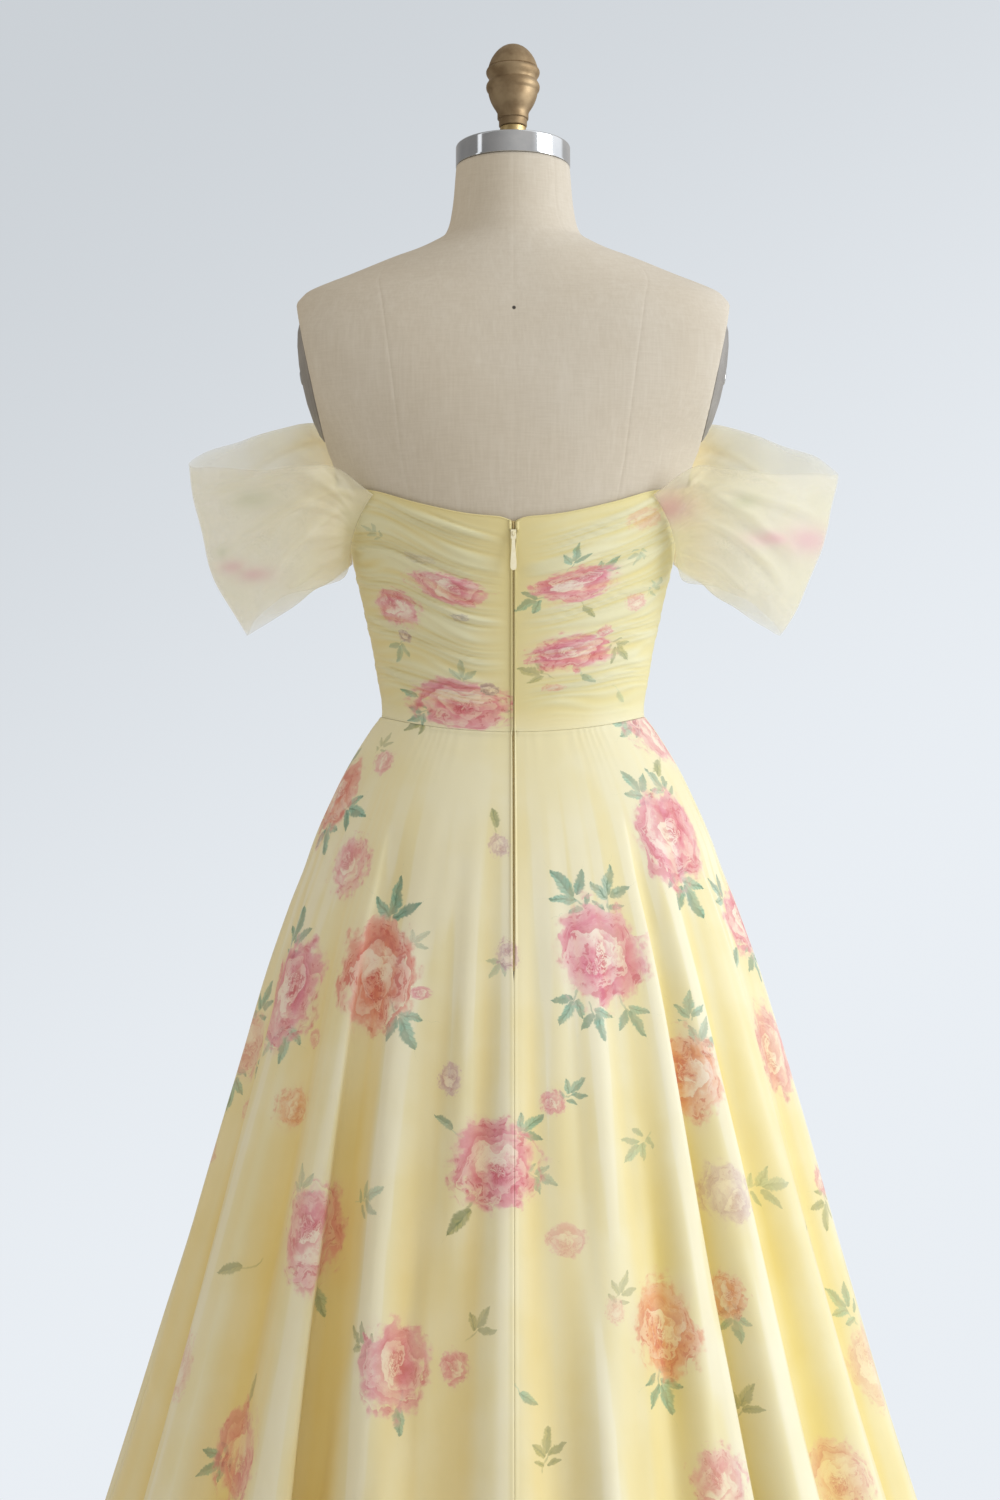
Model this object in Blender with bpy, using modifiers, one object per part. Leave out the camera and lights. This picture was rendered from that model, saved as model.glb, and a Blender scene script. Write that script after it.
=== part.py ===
"""Prom dress, off the shoulder and floor length, on a limbless dress form with a round stand.

Metres, +Z up. The origin is on the floor, at the middle of the stand's base. The wearer's back
faces +Y and the wearer's left is +X. Angles around the body start at the centre back and grow
towards the wearer's left.
"""

import math
from collections import namedtuple

import bmesh
import bpy
from mathutils import Matrix, Vector

# Cloth
CLOTH = 0.0015
ORGANZA = 0.0010
SEAM = 0.0003
EASE = 0.0020
WAIST_EASE = 0.0006

# Heights and lengths of the dress
WAIST_HEIGHT = 1.060
WAIST_DIP = 0.014
HEM_HEIGHT = 0.012
RUCHE_HEIGHT = 0.0022
RUCHE_ROWS = 20

# Zip in the centre back
ZIP_TOP = 1.2310
ZIP_END = 0.840
ZIP_OPENING = 0.0040
ZIP_CLOSING = 0.0045
ZIP_TAPE = 0.0012
ZIP_RECESS = 0.0004
PULL_HEIGHT = 1.2195
PULL_LENGTH = 0.0320
PULL_WIDTH = 0.0054
PULL_THICK = 0.0010
BRIDGE_INSIDE = 0.0010
BRIDGE_OUTSIDE = 0.0020
BRIDGE_WIDTH = 0.0012
SLIDER_SIZE = (0.0050, 0.0016, 0.0080)

# Dress form
NECK_LEAN = math.radians(7.0)
NECK_TOP = 1.5585
NECK_BASE = 1.4975
CAP_RADIUS = 0.0520
CAP_HEIGHT = 0.0200
STEM_RADIUS = 0.0118
STEM_HEIGHT = 0.0182
ARMHOLE_TOP = 1.430
ARMHOLE_FOOT = 1.300
ARMHOLE_REACH = 0.195
ARMHOLE_SLOPE = 0.208
PLATE_HALF_HEIGHT = 0.055
PLATE_HALF_DEPTH = 0.040
PLATE_DOME = 0.010
PLATE_MIDDLE = 1.3640
BUST_RISE = 0.022
BUST_APART = 0.085
BUST_HEIGHT = 1.262
BUST_SPREAD = (0.045, 0.055)

# Stand
POLE_RADIUS = 0.0150
BASE_RADIUS = 0.190
BASE_HUB = 0.034
BASE_RIM = 0.008

BACK_COLUMNS = 11
FRONT_COLUMNS = 18

# The form's level sections, from the flat end of the hips to the neck
Section = namedtuple("Section", "height half_width back front square")
BODY = [
    Section(0.8000, 0.1630, 0.108, 0.106, 2.2),
    Section(0.8600, 0.1670, 0.114, 0.110, 2.2),
    Section(0.9000, 0.1650, 0.112, 0.110, 2.2),
    Section(0.9530, 0.1580, 0.102, 0.108, 2.1),
    Section(0.9850, 0.1490, 0.093, 0.105, 2.1),
    Section(1.0160, 0.1370, 0.083, 0.101, 2.0),
    Section(1.0600, 0.1172, 0.074, 0.096, 2.0),
    Section(1.1080, 0.1215, 0.077, 0.099, 2.0),
    Section(1.1500, 0.1300, 0.084, 0.106, 2.0),
    Section(1.2000, 0.1415, 0.094, 0.112, 2.0),
    Section(1.2500, 0.1530, 0.102, 0.118, 2.1),
    Section(1.3000, 0.1680, 0.106, 0.116, 2.2),
    Section(1.3500, 0.2000, 0.106, 0.110, 2.4),
    Section(1.4000, 0.2150, 0.098, 0.100, 2.6),
    Section(1.4250, 0.2030, 0.092, 0.092, 2.5),
    Section(1.4390, 0.1927, 0.087, 0.084, 2.3),
    Section(1.4464, 0.1841, 0.084, 0.080, 2.1),
    Section(1.4610, 0.1477, 0.079, 0.073, 2.0),
    Section(1.4755, 0.1114, 0.073, 0.067, 2.0),
    Section(1.4827, 0.0905, 0.070, 0.063, 2.0),
    Section(1.4900, 0.0741, 0.067, 0.060, 2.0),
    Section(1.4975, 0.0620, 0.064, 0.056, 2.0),
    Section(1.5190, 0.0555, 0.056, 0.052, 2.0),
    Section(1.5585, 0.0516, 0.050, 0.052, 2.0),
]
TORSO_ROWS = [
    0.800, 0.850, 0.900, 0.950, 1.000, 1.030, 1.046, 1.060, 1.080, 1.108, 1.150, 1.200, 1.250,
    1.280, 1.300, 1.325, 1.360, 1.400, 1.430, 1.439, 1.4464, 1.461, 1.4755, 1.4827, 1.490, 1.4975,
    1.519, 1.5585,
]

# The bodice's top edge
Edge = namedtuple("Edge", "angle height")
TOP_EDGE = [
    Edge(0, 1.234),
    Edge(15, 1.238),
    Edge(32, 1.248),
    Edge(50, 1.260),
    Edge(72, 1.265),
    Edge(90, 1.272),
    Edge(108, 1.300),
    Edge(128, 1.333),
    Edge(145, 1.325),
    Edge(165, 1.300),
    Edge(180, 1.292),
]

# The skirt's outline over its ridges, by the drop below the waist seam
Flare = namedtuple("Flare", "drop half_width back front")
SKIRT = [
    Flare(0.000, 0.1198, 0.0766, 0.0986),
    Flare(0.012, 0.1290, 0.0820, 0.1015),
    Flare(0.044, 0.1490, 0.0970, 0.1120),
    Flare(0.075, 0.1645, 0.1120, 0.1230),
    Flare(0.107, 0.1786, 0.1270, 0.1350),
    Flare(0.139, 0.1900, 0.1400, 0.1465),
    Flare(0.171, 0.2027, 0.1530, 0.1580),
    Flare(0.235, 0.2250, 0.1760, 0.1800),
    Flare(0.330, 0.2530, 0.2070, 0.2100),
    Flare(0.394, 0.2720, 0.2270, 0.2300),
    Flare(0.521, 0.3095, 0.2670, 0.2700),
    Flare(0.648, 0.3477, 0.3050, 0.3080),
    Flare(1.048, 0.4780, 0.4250, 0.4300),
]
SKIRT_DROPS = [
    0, 0.014, 0.040, 0.075, 0.120, 0.165, 0.209, 0.214, 0.280, 0.370, 0.480, 0.600, 0.740, 0.890,
    1.048,
]

# Each fold runs from its ridge down into its trough and up to the next fold's ridge
Fold = namedtuple("Fold", "ridge_top ridge_hem trough_top trough_hem depth start")
FOLDS = [
    Fold(88, 86, 75, 72, 0.034, 0.15),
    Fold(64, 63, 54, 52, 0.042, 0.12),
    Fold(42, 34, 38, 29, 0.062, 0.09),
    Fold(27, 15, 22, 10, 0.026, 0.16),
    Fold(0, 0, -13, -8, 0.020, 0.20),
    Fold(-21, -15, -30, -25, 0.036, 0.14),
    Fold(-36, -33, -41, -38, 0.056, 0.08),
    Fold(-47, -47, -52, -54, 0.048, 0.10),
    Fold(-62, -66, -67, -72, 0.044, 0.12),
    Fold(-84, -86, -92, -94, 0.040, 0.14),
    Fold(-104, -105, -112, -113, 0.050, 0.12),
    Fold(-125, -126, -130, -132, 0.056, 0.10),
    Fold(-143, -145, -151, -154, 0.038, 0.16),
    Fold(-163, -165, -168, -171, 0.052, 0.10),
    Fold(-182, -184, -191, -194, 0.034, 0.15),
    Fold(-203, -205, -208, -211, 0.058, 0.09),
    Fold(-222, -225, -230, -233, 0.042, 0.13),
    Fold(-244, -246, -249, -252, 0.052, 0.11),
]
LEFT_SEAM_FOLD = 0
BACK_SEAM_FOLD = 4
RIGHT_SEAM_FOLD = 9
STEEP_STEPS = 2
GENTLE_STEPS = 3
FOLD_GROWTH = 0.8

# Each sleeve's band by its top and bottom edges, from the back seam round the arm to the front
Band = namedtuple("Band", "top_x top_y top_z foot_x foot_y foot_z")
SLEEVE = [
    Band(0.158, 0.078, 1.280, 0.156, 0.036, 1.178),
    Band(0.186, 0.079, 1.281, 0.184, 0.047, 1.163),
    Band(0.226, 0.064, 1.279, 0.208, 0.046, 1.151),
    Band(0.268, 0.034, 1.284, 0.230, 0.028, 1.140),
    Band(0.296, 0.000, 1.288, 0.243, -0.002, 1.134),
    Band(0.279, -0.031, 1.305, 0.233, -0.032, 1.142),
    Band(0.253, -0.056, 1.316, 0.216, -0.050, 1.154),
    Band(0.222, -0.078, 1.329, 0.196, -0.060, 1.169),
    Band(0.186, -0.093, 1.337, 0.173, -0.054, 1.184),
]
SleeveSeam = namedtuple("SleeveSeam", "top_angle top_height foot_angle foot_height")
BACK_SLEEVE_SEAM = SleeveSeam(49, 1.2560, 83, 1.1985)
FRONT_SLEEVE_SEAM = SleeveSeam(127, 1.3250, 99, 1.2000)
SLEEVE_STEPS = 3
SLEEVE_ROWS = 8
SLEEVE_BILLOW = 0.010
SLEEVE_FOLD = 0.0035
RIGHT_SLEEVE_SAG = 0.007

# Turned profiles, radius and height from the bottom of each piece
Turn = namedtuple("Turn", "radius height")
FINIAL = [
    Turn(0.0000, 0.0780),
    Turn(0.0060, 0.0772),
    Turn(0.0125, 0.0742),
    Turn(0.0178, 0.0680),
    Turn(0.0215, 0.0590),
    Turn(0.0245, 0.0500),
    Turn(0.0240, 0.0455),
    Turn(0.0222, 0.0432),
    Turn(0.0243, 0.0400),
    Turn(0.0245, 0.0350),
    Turn(0.0228, 0.0290),
    Turn(0.0205, 0.0215),
    Turn(0.0170, 0.0150),
    Turn(0.0148, 0.0118),
    Turn(0.0156, 0.0090),
    Turn(0.0156, 0.0020),
    Turn(0.0148, 0.0000),
    Turn(0.0000, 0.0000),
]


def clear_scene():
    for thing in list(bpy.data.objects):
        bpy.data.objects.remove(thing, do_unlink=True)


def make_collection(name):
    collection = bpy.data.collections.new(name)
    bpy.context.scene.collection.children.link(collection)
    return collection


def make_material(name, colour, roughness, metallic=0.0):
    material = bpy.data.materials.new(name)
    material.use_nodes = True
    shader = material.node_tree.nodes["Principled BSDF"]
    shader.inputs["Base Color"].default_value = (*colour, 1.0)
    shader.inputs["Roughness"].default_value = roughness
    shader.inputs["Metallic"].default_value = metallic
    material.diffuse_color = (*colour, 1.0)
    return material


def add_object(name, data, collection, material):
    thing = bpy.data.objects.new(name, data)
    thing.data.materials.append(material)
    collection.objects.link(thing)
    return thing


def read(table, column, at):
    """Read one column of a table at a key between its rows, on a smooth curve through them."""
    keys = [row[0] for row in table]
    values = [getattr(row, column) for row in table]
    last = len(table) - 1
    at = min(max(at, keys[0]), keys[last])
    low = max(i for i in range(last) if keys[i] <= at)

    def slope(i):
        before, after = max(i - 1, 0), min(i + 1, last)
        return (values[after] - values[before]) / (keys[after] - keys[before])

    span = keys[low + 1] - keys[low]
    t = (at - keys[low]) / span
    blend = t * t * (3 - 2 * t)
    start = t * (1 - t) ** 2 * span * slope(low)
    end = t * t * (t - 1) * span * slope(low + 1)
    return values[low] * (1 - blend) + values[low + 1] * blend + start + end


def oval_point(angle, half_width, depth, square, height):
    """A point of a level section, a superellipse, at an angle from the centre back."""
    side, rear = math.sin(angle), math.cos(angle)
    x = half_width * math.copysign(abs(side) ** (2 / square), side)
    y = depth * math.copysign(abs(rear) ** (2 / square), rear)
    return Vector((x, y, height))


def bust(x, height):
    across = (abs(x) - BUST_APART) / BUST_SPREAD[0]
    up = (height - BUST_HEIGHT) / BUST_SPREAD[1]
    return BUST_RISE * math.exp(-across ** 2 - up ** 2)


def body_point(angle, height, out=0.0):
    """A point on the form's surface, or a distance out from it."""
    rear = math.cos(angle) > 0
    depth = read(BODY, "back" if rear else "front", height) + out
    half_width = read(BODY, "half_width", height) + out
    point = oval_point(angle, half_width, depth, read(BODY, "square", height), height)
    if not rear:
        point.y -= bust(point.x, height) * -math.cos(angle)
    return point


def body_angles():
    """The columns shared by the form and the bodice: the left back, the front, the right back."""
    back = [math.radians(90 * i / BACK_COLUMNS) for i in range(BACK_COLUMNS)]
    front = [math.radians(90 + 180 * i / FRONT_COLUMNS) for i in range(FRONT_COLUMNS + 1)]
    return back + front + [2 * math.pi - angle for angle in reversed(back[1:])]


def waist_height(angle):
    return WAIST_HEIGHT - WAIST_DIP * max(math.cos(angle), 0.0) ** 2


def top_height(angle):
    turned = math.degrees(angle) % 360
    return read(TOP_EDGE, "height", min(turned, 360 - turned))


def grid_normals(grid, closed):
    """The outward normals of a grid of points, rows by columns, from each point's neighbours."""
    rows, columns = len(grid), len(grid[0])
    normals = []
    for r in range(rows):
        line = []
        for c in range(columns):
            if closed:
                before, after = grid[r][(c - 1) % columns], grid[r][(c + 1) % columns]
            else:
                before, after = grid[r][max(c - 1, 0)], grid[r][min(c + 1, columns - 1)]
            along = after - before
            up = grid[min(r + 1, rows - 1)][c] - grid[max(r - 1, 0)][c]
            line.append(up.cross(along).normalized())
        normals.append(line)
    return normals


def wall(name, outer, inner, collection, material):
    """A closed wall of cloth between an outer and an inner grid, with both split alike."""
    rows, columns = len(outer), len(outer[0])
    shape = bmesh.new()
    out = [[shape.verts.new(point) for point in line] for line in outer]
    ins = [[shape.verts.new(point) for point in line] for line in inner]
    for r in range(rows - 1):
        for c in range(columns - 1):
            a, b, d, e = (r, c), (r, c + 1), (r + 1, c + 1), (r + 1, c)
            falling = (outer[a[0]][a[1]] - outer[d[0]][d[1]]).length
            rising = (outer[b[0]][b[1]] - outer[e[0]][e[1]]).length
            halves = [(a, b, d), (a, d, e)] if falling <= rising else [(a, b, e), (b, d, e)]
            for corners in halves:
                shape.faces.new([out[i][j] for i, j in corners])
                shape.faces.new([ins[i][j] for i, j in reversed(corners)])
    rim = [(0, c) for c in range(columns)]
    rim += [(r, columns - 1) for r in range(1, rows)]
    rim += [(rows - 1, c) for c in range(columns - 2, -1, -1)]
    rim += [(r, 0) for r in range(rows - 2, 0, -1)]
    for (i, j), (k, m) in zip(rim, rim[1:] + rim[:1]):
        shape.faces.new((out[i][j], ins[i][j], ins[k][m], out[k][m]))
    bmesh.ops.recalc_face_normals(shape, faces=shape.faces)
    mesh = bpy.data.meshes.new(name)
    shape.to_mesh(mesh)
    shape.free()
    mesh.shade_smooth()
    return add_object(name, mesh, collection, material)


def turned(name, profile, steps, collection, material):
    """A turned piece: its profile runs from the axis down the outer side to the axis."""
    mesh = bpy.data.meshes.new(name)
    points = [(turn.radius, 0, turn.height) for turn in profile]
    mesh.from_pydata(points, [(i, i + 1) for i in range(len(points) - 1)], [])
    piece = add_object(name, mesh, collection, material)
    screw = piece.modifiers.new("Turn", "SCREW")
    screw.steps = steps
    screw.render_steps = steps
    screw.use_merge_vertices = True
    screw.merge_threshold = 0.00001
    screw.use_smooth_shade = True
    return piece


def outline_mesh(name, points, holes, half_thick):
    """A flat plate from an outline and its holes, as a closed mesh in its own XY plane."""
    curve = bpy.data.curves.new(name, "CURVE")
    curve.dimensions = "2D"
    curve.fill_mode = "BOTH"
    curve.extrude = half_thick
    for loop in [points] + holes:
        spline = curve.splines.new("POLY")
        spline.points.add(len(loop) - 1)
        for point, (x, y) in zip(spline.points, loop):
            point.co = (x, y, 0, 1)
        spline.use_cyclic_u = True
    guide = bpy.data.objects.new(name, curve)
    bpy.context.scene.collection.objects.link(guide)
    seen = guide.evaluated_get(bpy.context.evaluated_depsgraph_get())
    mesh = bpy.data.meshes.new_from_object(seen)
    bpy.data.objects.remove(guide, do_unlink=True)
    shape = bmesh.new()
    shape.from_mesh(mesh)
    bmesh.ops.remove_doubles(shape, verts=shape.verts, dist=0.000001)
    bmesh.ops.recalc_face_normals(shape, faces=shape.faces)
    shape.to_mesh(mesh)
    shape.free()
    return mesh


def arc(radius, start, end, steps):
    """Points round the origin from a start to an end angle in degrees."""
    angles = [math.radians(start + (end - start) * i / steps) for i in range(steps + 1)]
    return [(radius * math.cos(angle), radius * math.sin(angle)) for angle in angles]


def ruche(angle, row):
    """How far a pleat stands up: every other row is a ridge, flat at the zip and at both edges."""
    if row % 2 == 0:
        return 0.0
    turn = abs(math.degrees(math.atan2(math.sin(angle), math.cos(angle))))
    beside_zip = min(turn / 14, 1.0)
    low = min(row / 5, 1.0)
    uneven = 0.75 + 0.25 * math.sin(2.3 * row + 3 * angle)
    return RUCHE_HEIGHT * beside_zip * low * uneven


def bodice_grids():
    """The bodice's outer and inner points, all round, row by row from the waist to the top."""
    angles = body_angles()
    inner = []
    for row in range(RUCHE_ROWS + 1):
        share = row / RUCHE_ROWS
        ease = WAIST_EASE + (EASE - WAIST_EASE) * min(share * 8, 1.0)
        line = []
        for angle in angles:
            foot = waist_height(angle) + SEAM / 2
            line.append(body_point(angle, foot + (top_height(angle) - foot) * share, ease))
        inner.append(line)
    normals = grid_normals(inner, closed=True)
    outer = []
    for row, line in enumerate(inner):
        raised = [CLOTH + ruche(angle, row) for angle in angles]
        outer.append([p + n * up for p, n, up in zip(line, normals[row], raised)])
    return outer, inner


def panel(grid, columns, left_gap, right_gap):
    """Some columns of a grid, its first and last moved in along the row to open the seams."""
    cut = []
    for line in grid:
        chosen = [line[c % len(line)].copy() for c in columns]
        first = (chosen[1] - chosen[0]).normalized()
        last = (chosen[-2] - chosen[-1]).normalized()
        chosen[0] += first * left_gap(chosen[0].z)
        chosen[-1] += last * right_gap(chosen[-1].z)
        cut.append(chosen)
    return cut


def side_gap(height):
    return SEAM / 2


def back_gap(height):
    """Half the distance between the two backs: the zip's opening, closing to a seam below it."""
    closing = min(max((ZIP_END - height) / ZIP_CLOSING, 0.0), 1.0)
    return (ZIP_OPENING * (1 - closing) + SEAM * closing) / 2


def make_bodice(collection, material):
    outer, inner = bodice_grids()
    round_count = len(outer[0])
    left_side = BACK_COLUMNS
    right_side = BACK_COLUMNS + FRONT_COLUMNS
    panels = {
        "bodice_back_left": (range(0, left_side + 1), back_gap, side_gap),
        "bodice_front": (range(left_side, right_side + 1), side_gap, side_gap),
        "bodice_back_right": (range(right_side, round_count + 1), side_gap, back_gap),
    }
    for name, (columns, first_gap, last_gap) in panels.items():
        skin = panel(outer, columns, first_gap, last_gap)
        lining = panel(inner, columns, first_gap, last_gap)
        wall(name, skin, lining, collection, material)


def skirt_point(angle, drop, cut):
    """A point of the skirt at an angle and a drop below the waist seam, cut in by its folds."""
    way = "back" if math.cos(angle) > 0 else "front"
    seam = waist_height(angle) - SEAM / 2
    height = seam - drop * (seam - HEM_HEIGHT) / SKIRT[-1].drop
    least = WAIST_EASE + SEAM + CLOTH
    depth = max(read(SKIRT, way, drop), read(BODY, way, height) + least)
    half_width = max(read(SKIRT, "half_width", drop), read(BODY, "half_width", height) + least)
    point = oval_point(angle, half_width, depth, 2.0, height)
    level = Vector((point.x, point.y, 0)).normalized()
    return point - level * cut


def fold_columns():
    """Each column as its fold, the stretch of the fold that it lies on, and how far along."""
    columns = []
    for index in range(len(FOLDS)):
        columns += [(index, "steep", i / STEEP_STEPS) for i in range(STEEP_STEPS)]
        columns += [(index, "gentle", i / GENTLE_STEPS) for i in range(GENTLE_STEPS)]
    return columns


def fold_place(index, stretch, share, drop):
    """The angle and the depth of a column of the folds at a drop below the waist seam."""
    fold = FOLDS[index]
    following = FOLDS[(index + 1) % len(FOLDS)]
    down = drop / SKIRT[-1].drop
    ridge = fold.ridge_top + (fold.ridge_hem - fold.ridge_top) * down
    trough = fold.trough_top + (fold.trough_hem - fold.trough_top) * down
    after = following.ridge_top + (following.ridge_hem - following.ridge_top) * down
    if after > trough:
        after -= 360
    if stretch == "steep":
        angle = ridge + (trough - ridge) * share
        dip = 0.5 - 0.5 * math.cos(math.pi * share)
    else:
        angle = trough + (after - trough) * share
        dip = 0.5 + 0.5 * math.cos(math.pi * share)
    grown = max(drop - fold.start, 0.0) / (SKIRT[-1].drop - fold.start)
    return math.radians(angle), fold.depth * dip * grown ** FOLD_GROWTH


def make_skirt(collection, material):
    columns = fold_columns()
    outer = []
    for drop in reversed(SKIRT_DROPS):
        line = []
        for index, stretch, share in columns:
            angle, cut = fold_place(index, stretch, share, drop)
            line.append(skirt_point(angle, drop, cut))
        line.reverse()
        outer.append(line)
    normals = grid_normals(outer, closed=True)
    inner = [[p - n * CLOTH for p, n in zip(*lines)] for lines in zip(outer, normals)]
    count = len(columns)
    per_fold = STEEP_STEPS + GENTLE_STEPS
    left = count - 1 - LEFT_SEAM_FOLD * per_fold
    back = count - 1 - BACK_SEAM_FOLD * per_fold
    right = count - 1 - RIGHT_SEAM_FOLD * per_fold
    panels = {
        "skirt_front": (range(left, right + count + 1), side_gap, side_gap),
        "skirt_back_right": (range(right, back + 1), side_gap, back_gap),
        "skirt_back_left": (range(back, left + 1), back_gap, side_gap),
    }
    for name, (chosen, first_gap, last_gap) in panels.items():
        skin = panel(outer, chosen, first_gap, last_gap)
        lining = panel(inner, chosen, first_gap, last_gap)
        wall(name, skin, lining, collection, material)


def seam_line(seam):
    """The points where a sleeve meets the bodice, top to bottom, just clear of its pleats."""
    out = EASE + CLOTH + RUCHE_HEIGHT * 0.75 + SEAM + ORGANZA / 2
    line = []
    for row in range(SLEEVE_ROWS + 1):
        share = row / SLEEVE_ROWS
        angle = seam.top_angle + (seam.foot_angle - seam.top_angle) * share
        height = seam.top_height + (seam.foot_height - seam.top_height) * share
        line.append(body_point(math.radians(angle), height, out))
    return line


def band_line(band, sag):
    """A line down the sleeve's band, bowed out from the arm, its outer end sagging."""
    outward = (band.top_x - SLEEVE[0].top_x) / (SLEEVE[4].top_x - SLEEVE[0].top_x)
    top = Vector((band.top_x, band.top_y, band.top_z - sag * max(outward, 0.0)))
    foot = Vector((band.foot_x, band.foot_y, band.foot_z))
    level = Vector((0, math.copysign(1, band.top_y), 0)) * min(abs(band.top_y) / 0.05, 1.0)
    line = []
    for row in range(SLEEVE_ROWS + 1):
        share = row / SLEEVE_ROWS
        bow = SLEEVE_BILLOW * math.sin(math.pi * share)
        line.append(top.lerp(foot, share) + level * bow)
    return line


def smooth_between(lines, steps):
    """More lines between the given ones, on smooth curves through their points."""
    result = []
    last = len(lines) - 1
    for i in range(last):
        for step in range(steps):
            t = step / steps
            line = []
            for k in range(len(lines[i])):
                before, start = lines[max(i - 1, 0)][k], lines[i][k]
                end, after = lines[i + 1][k], lines[min(i + 2, last)][k]
                blend = t * t * (3 - 2 * t)
                leave = (end - before) * 0.5 * t * (1 - t) ** 2
                arrive = (after - start) * 0.5 * t * t * (t - 1)
                line.append(start * (1 - blend) + end * blend + leave + arrive)
            result.append(line)
    result.append(lines[last])
    return result


def make_sleeve(name, side, sag, collection, material):
    lines = [seam_line(BACK_SLEEVE_SEAM)]
    lines += [band_line(band, sag) for band in SLEEVE]
    lines.append(seam_line(FRONT_SLEEVE_SEAM))
    lines = smooth_between(lines, SLEEVE_STEPS)
    middle = [[line[row] for line in lines] for row in range(SLEEVE_ROWS + 1)]
    middle.reverse()
    normals = grid_normals(middle, closed=False)
    outer, inner = [], []
    last = len(lines) - 1
    for row, (line, up) in enumerate(zip(middle, normals)):
        skin, lining = [], []
        for column, (point, normal) in enumerate(zip(line, up)):
            share = column / last
            near_seam = math.sin(math.pi * share) ** 2
            edge = math.sin(math.pi * row / SLEEVE_ROWS)
            soft = SLEEVE_FOLD * near_seam * edge * math.sin(row * 2.4 + share * 9)
            skin.append(point + normal * (soft + ORGANZA / 2))
            lining.append(point + normal * (soft - ORGANZA / 2))
        outer.append(skin)
        inner.append(lining)
    for grid in (outer, inner):
        for line in grid:
            for point in line:
                point.x *= side
    wall(name, outer, inner, collection, material)


def back_skin(height):
    """The dress's outer surface down the centre back, as its distance behind the axis."""
    seam = waist_height(0)
    if height >= seam:
        share = (height - seam) / (top_height(0) - seam)
        ease = WAIST_EASE + (EASE - WAIST_EASE) * min(share * 8, 1.0)
        return body_point(0, height, ease + CLOTH).y
    drop = (seam - height) * SKIRT[-1].drop / (seam - HEM_HEIGHT)
    angle, cut = fold_place(BACK_SEAM_FOLD, "steep", 0, drop)
    return skirt_point(angle, drop, cut).y


def make_zip_tape(collection, material):
    """A narrow strip between the two backs, a little below their surface and clear of both."""
    half = ZIP_OPENING / 2 - 2 * SEAM
    steps = 20
    outer, inner = [], []
    for i in range(steps + 1):
        height = ZIP_END + 0.002 + (ZIP_TOP - ZIP_END - 0.002) * i / steps
        skin = back_skin(height) - ZIP_RECESS
        outer.append([Vector((x, skin, height)) for x in (-half, half)])
        inner.append([Vector((x, skin - ZIP_TAPE, height)) for x in (-half, half)])
    wall("zip_tape", outer, inner, collection, material)


def zip_hinge():
    """The zip pull's hinge: its place, and the lean of the back that the slider lies on."""
    low, high = PULL_HEIGHT - 0.006, PULL_HEIGHT + 0.006
    lean = math.atan2(back_skin(high) - back_skin(low), high - low)
    rise = SLIDER_SIZE[1] + SEAM + 0.0011
    skin = back_skin(PULL_HEIGHT)
    return Vector((0, skin + rise / math.cos(lean), PULL_HEIGHT)), lean


def make_zip_slider(collection, cutters, material):
    """A slider with a bridge that its pull hangs from."""
    place, lean = zip_hinge()
    mesh = bpy.data.meshes.new("zip_slider")
    shape = bmesh.new()
    bmesh.ops.create_cube(shape, size=1.0)
    bmesh.ops.scale(shape, vec=SLIDER_SIZE, verts=shape.verts)
    middle = (0, -0.0011 - SLIDER_SIZE[1] / 2, -0.0005)
    bmesh.ops.translate(shape, vec=middle, verts=shape.verts)
    shape.to_mesh(mesh)
    shape.free()
    slider = add_object("zip_slider", mesh, collection, material)
    slider.location = place
    slider.rotation_euler = (-lean, 0, 0)
    foot = -0.0011 - 0.0004
    points = [(foot, -BRIDGE_OUTSIDE)] + arc(BRIDGE_OUTSIDE, -90, 90, 8)
    points += [(foot, BRIDGE_OUTSIDE), (foot, BRIDGE_INSIDE)]
    points += arc(BRIDGE_INSIDE, 90, -90, 6) + [(foot, -BRIDGE_INSIDE)]
    bridge = bpy.data.objects.new("bridge", outline_mesh("bridge", points, [], BRIDGE_WIDTH / 2))
    cutters.objects.link(bridge)
    upright = Matrix(((0, 0, 1), (1, 0, 0), (0, 1, 0))).to_4x4()
    bridge.matrix_world = Matrix.Translation(place) @ Matrix.Rotation(-lean, 4, "X") @ upright
    bridge.hide_render = True
    bridge.display_type = "WIRE"
    join = slider.modifiers.new("Bridge", "BOOLEAN")
    join.operation = "UNION"
    join.object = bridge


def make_zip_pull(collection, material):
    """A flat teardrop tab with an eye round the slider's bridge, hanging from its hinge."""
    place, _ = zip_hinge()
    bar = PULL_THICK / 2
    eye_foot = -BRIDGE_OUTSIDE - SEAM
    eye_half = BRIDGE_WIDTH / 2 + SEAM
    neck = 0.0021
    tip = PULL_WIDTH / 2
    points = [(-neck, eye_foot - 0.0012), (-neck, bar), (neck, bar), (neck, eye_foot - 0.0012)]
    points += [(0.0015, -0.0060), (0.0017, -0.0120)]
    round_tip = [(x, y - PULL_LENGTH + tip) for x, y in arc(tip, 0, -180, 8)]
    points += [(tip, -PULL_LENGTH + 0.0070)] + round_tip + [(-tip, -PULL_LENGTH + 0.0070)]
    points += [(-0.0017, -0.0120), (-0.0015, -0.0060)]
    eye = [(-eye_half, -bar), (eye_half, -bar), (eye_half, eye_foot), (-eye_half, eye_foot)]
    pull = add_object("zip_pull", outline_mesh("zip_pull", points, [eye], bar), collection, material)
    pull.location = place
    pull.rotation_euler = (math.pi / 2, 0, 0)


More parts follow.
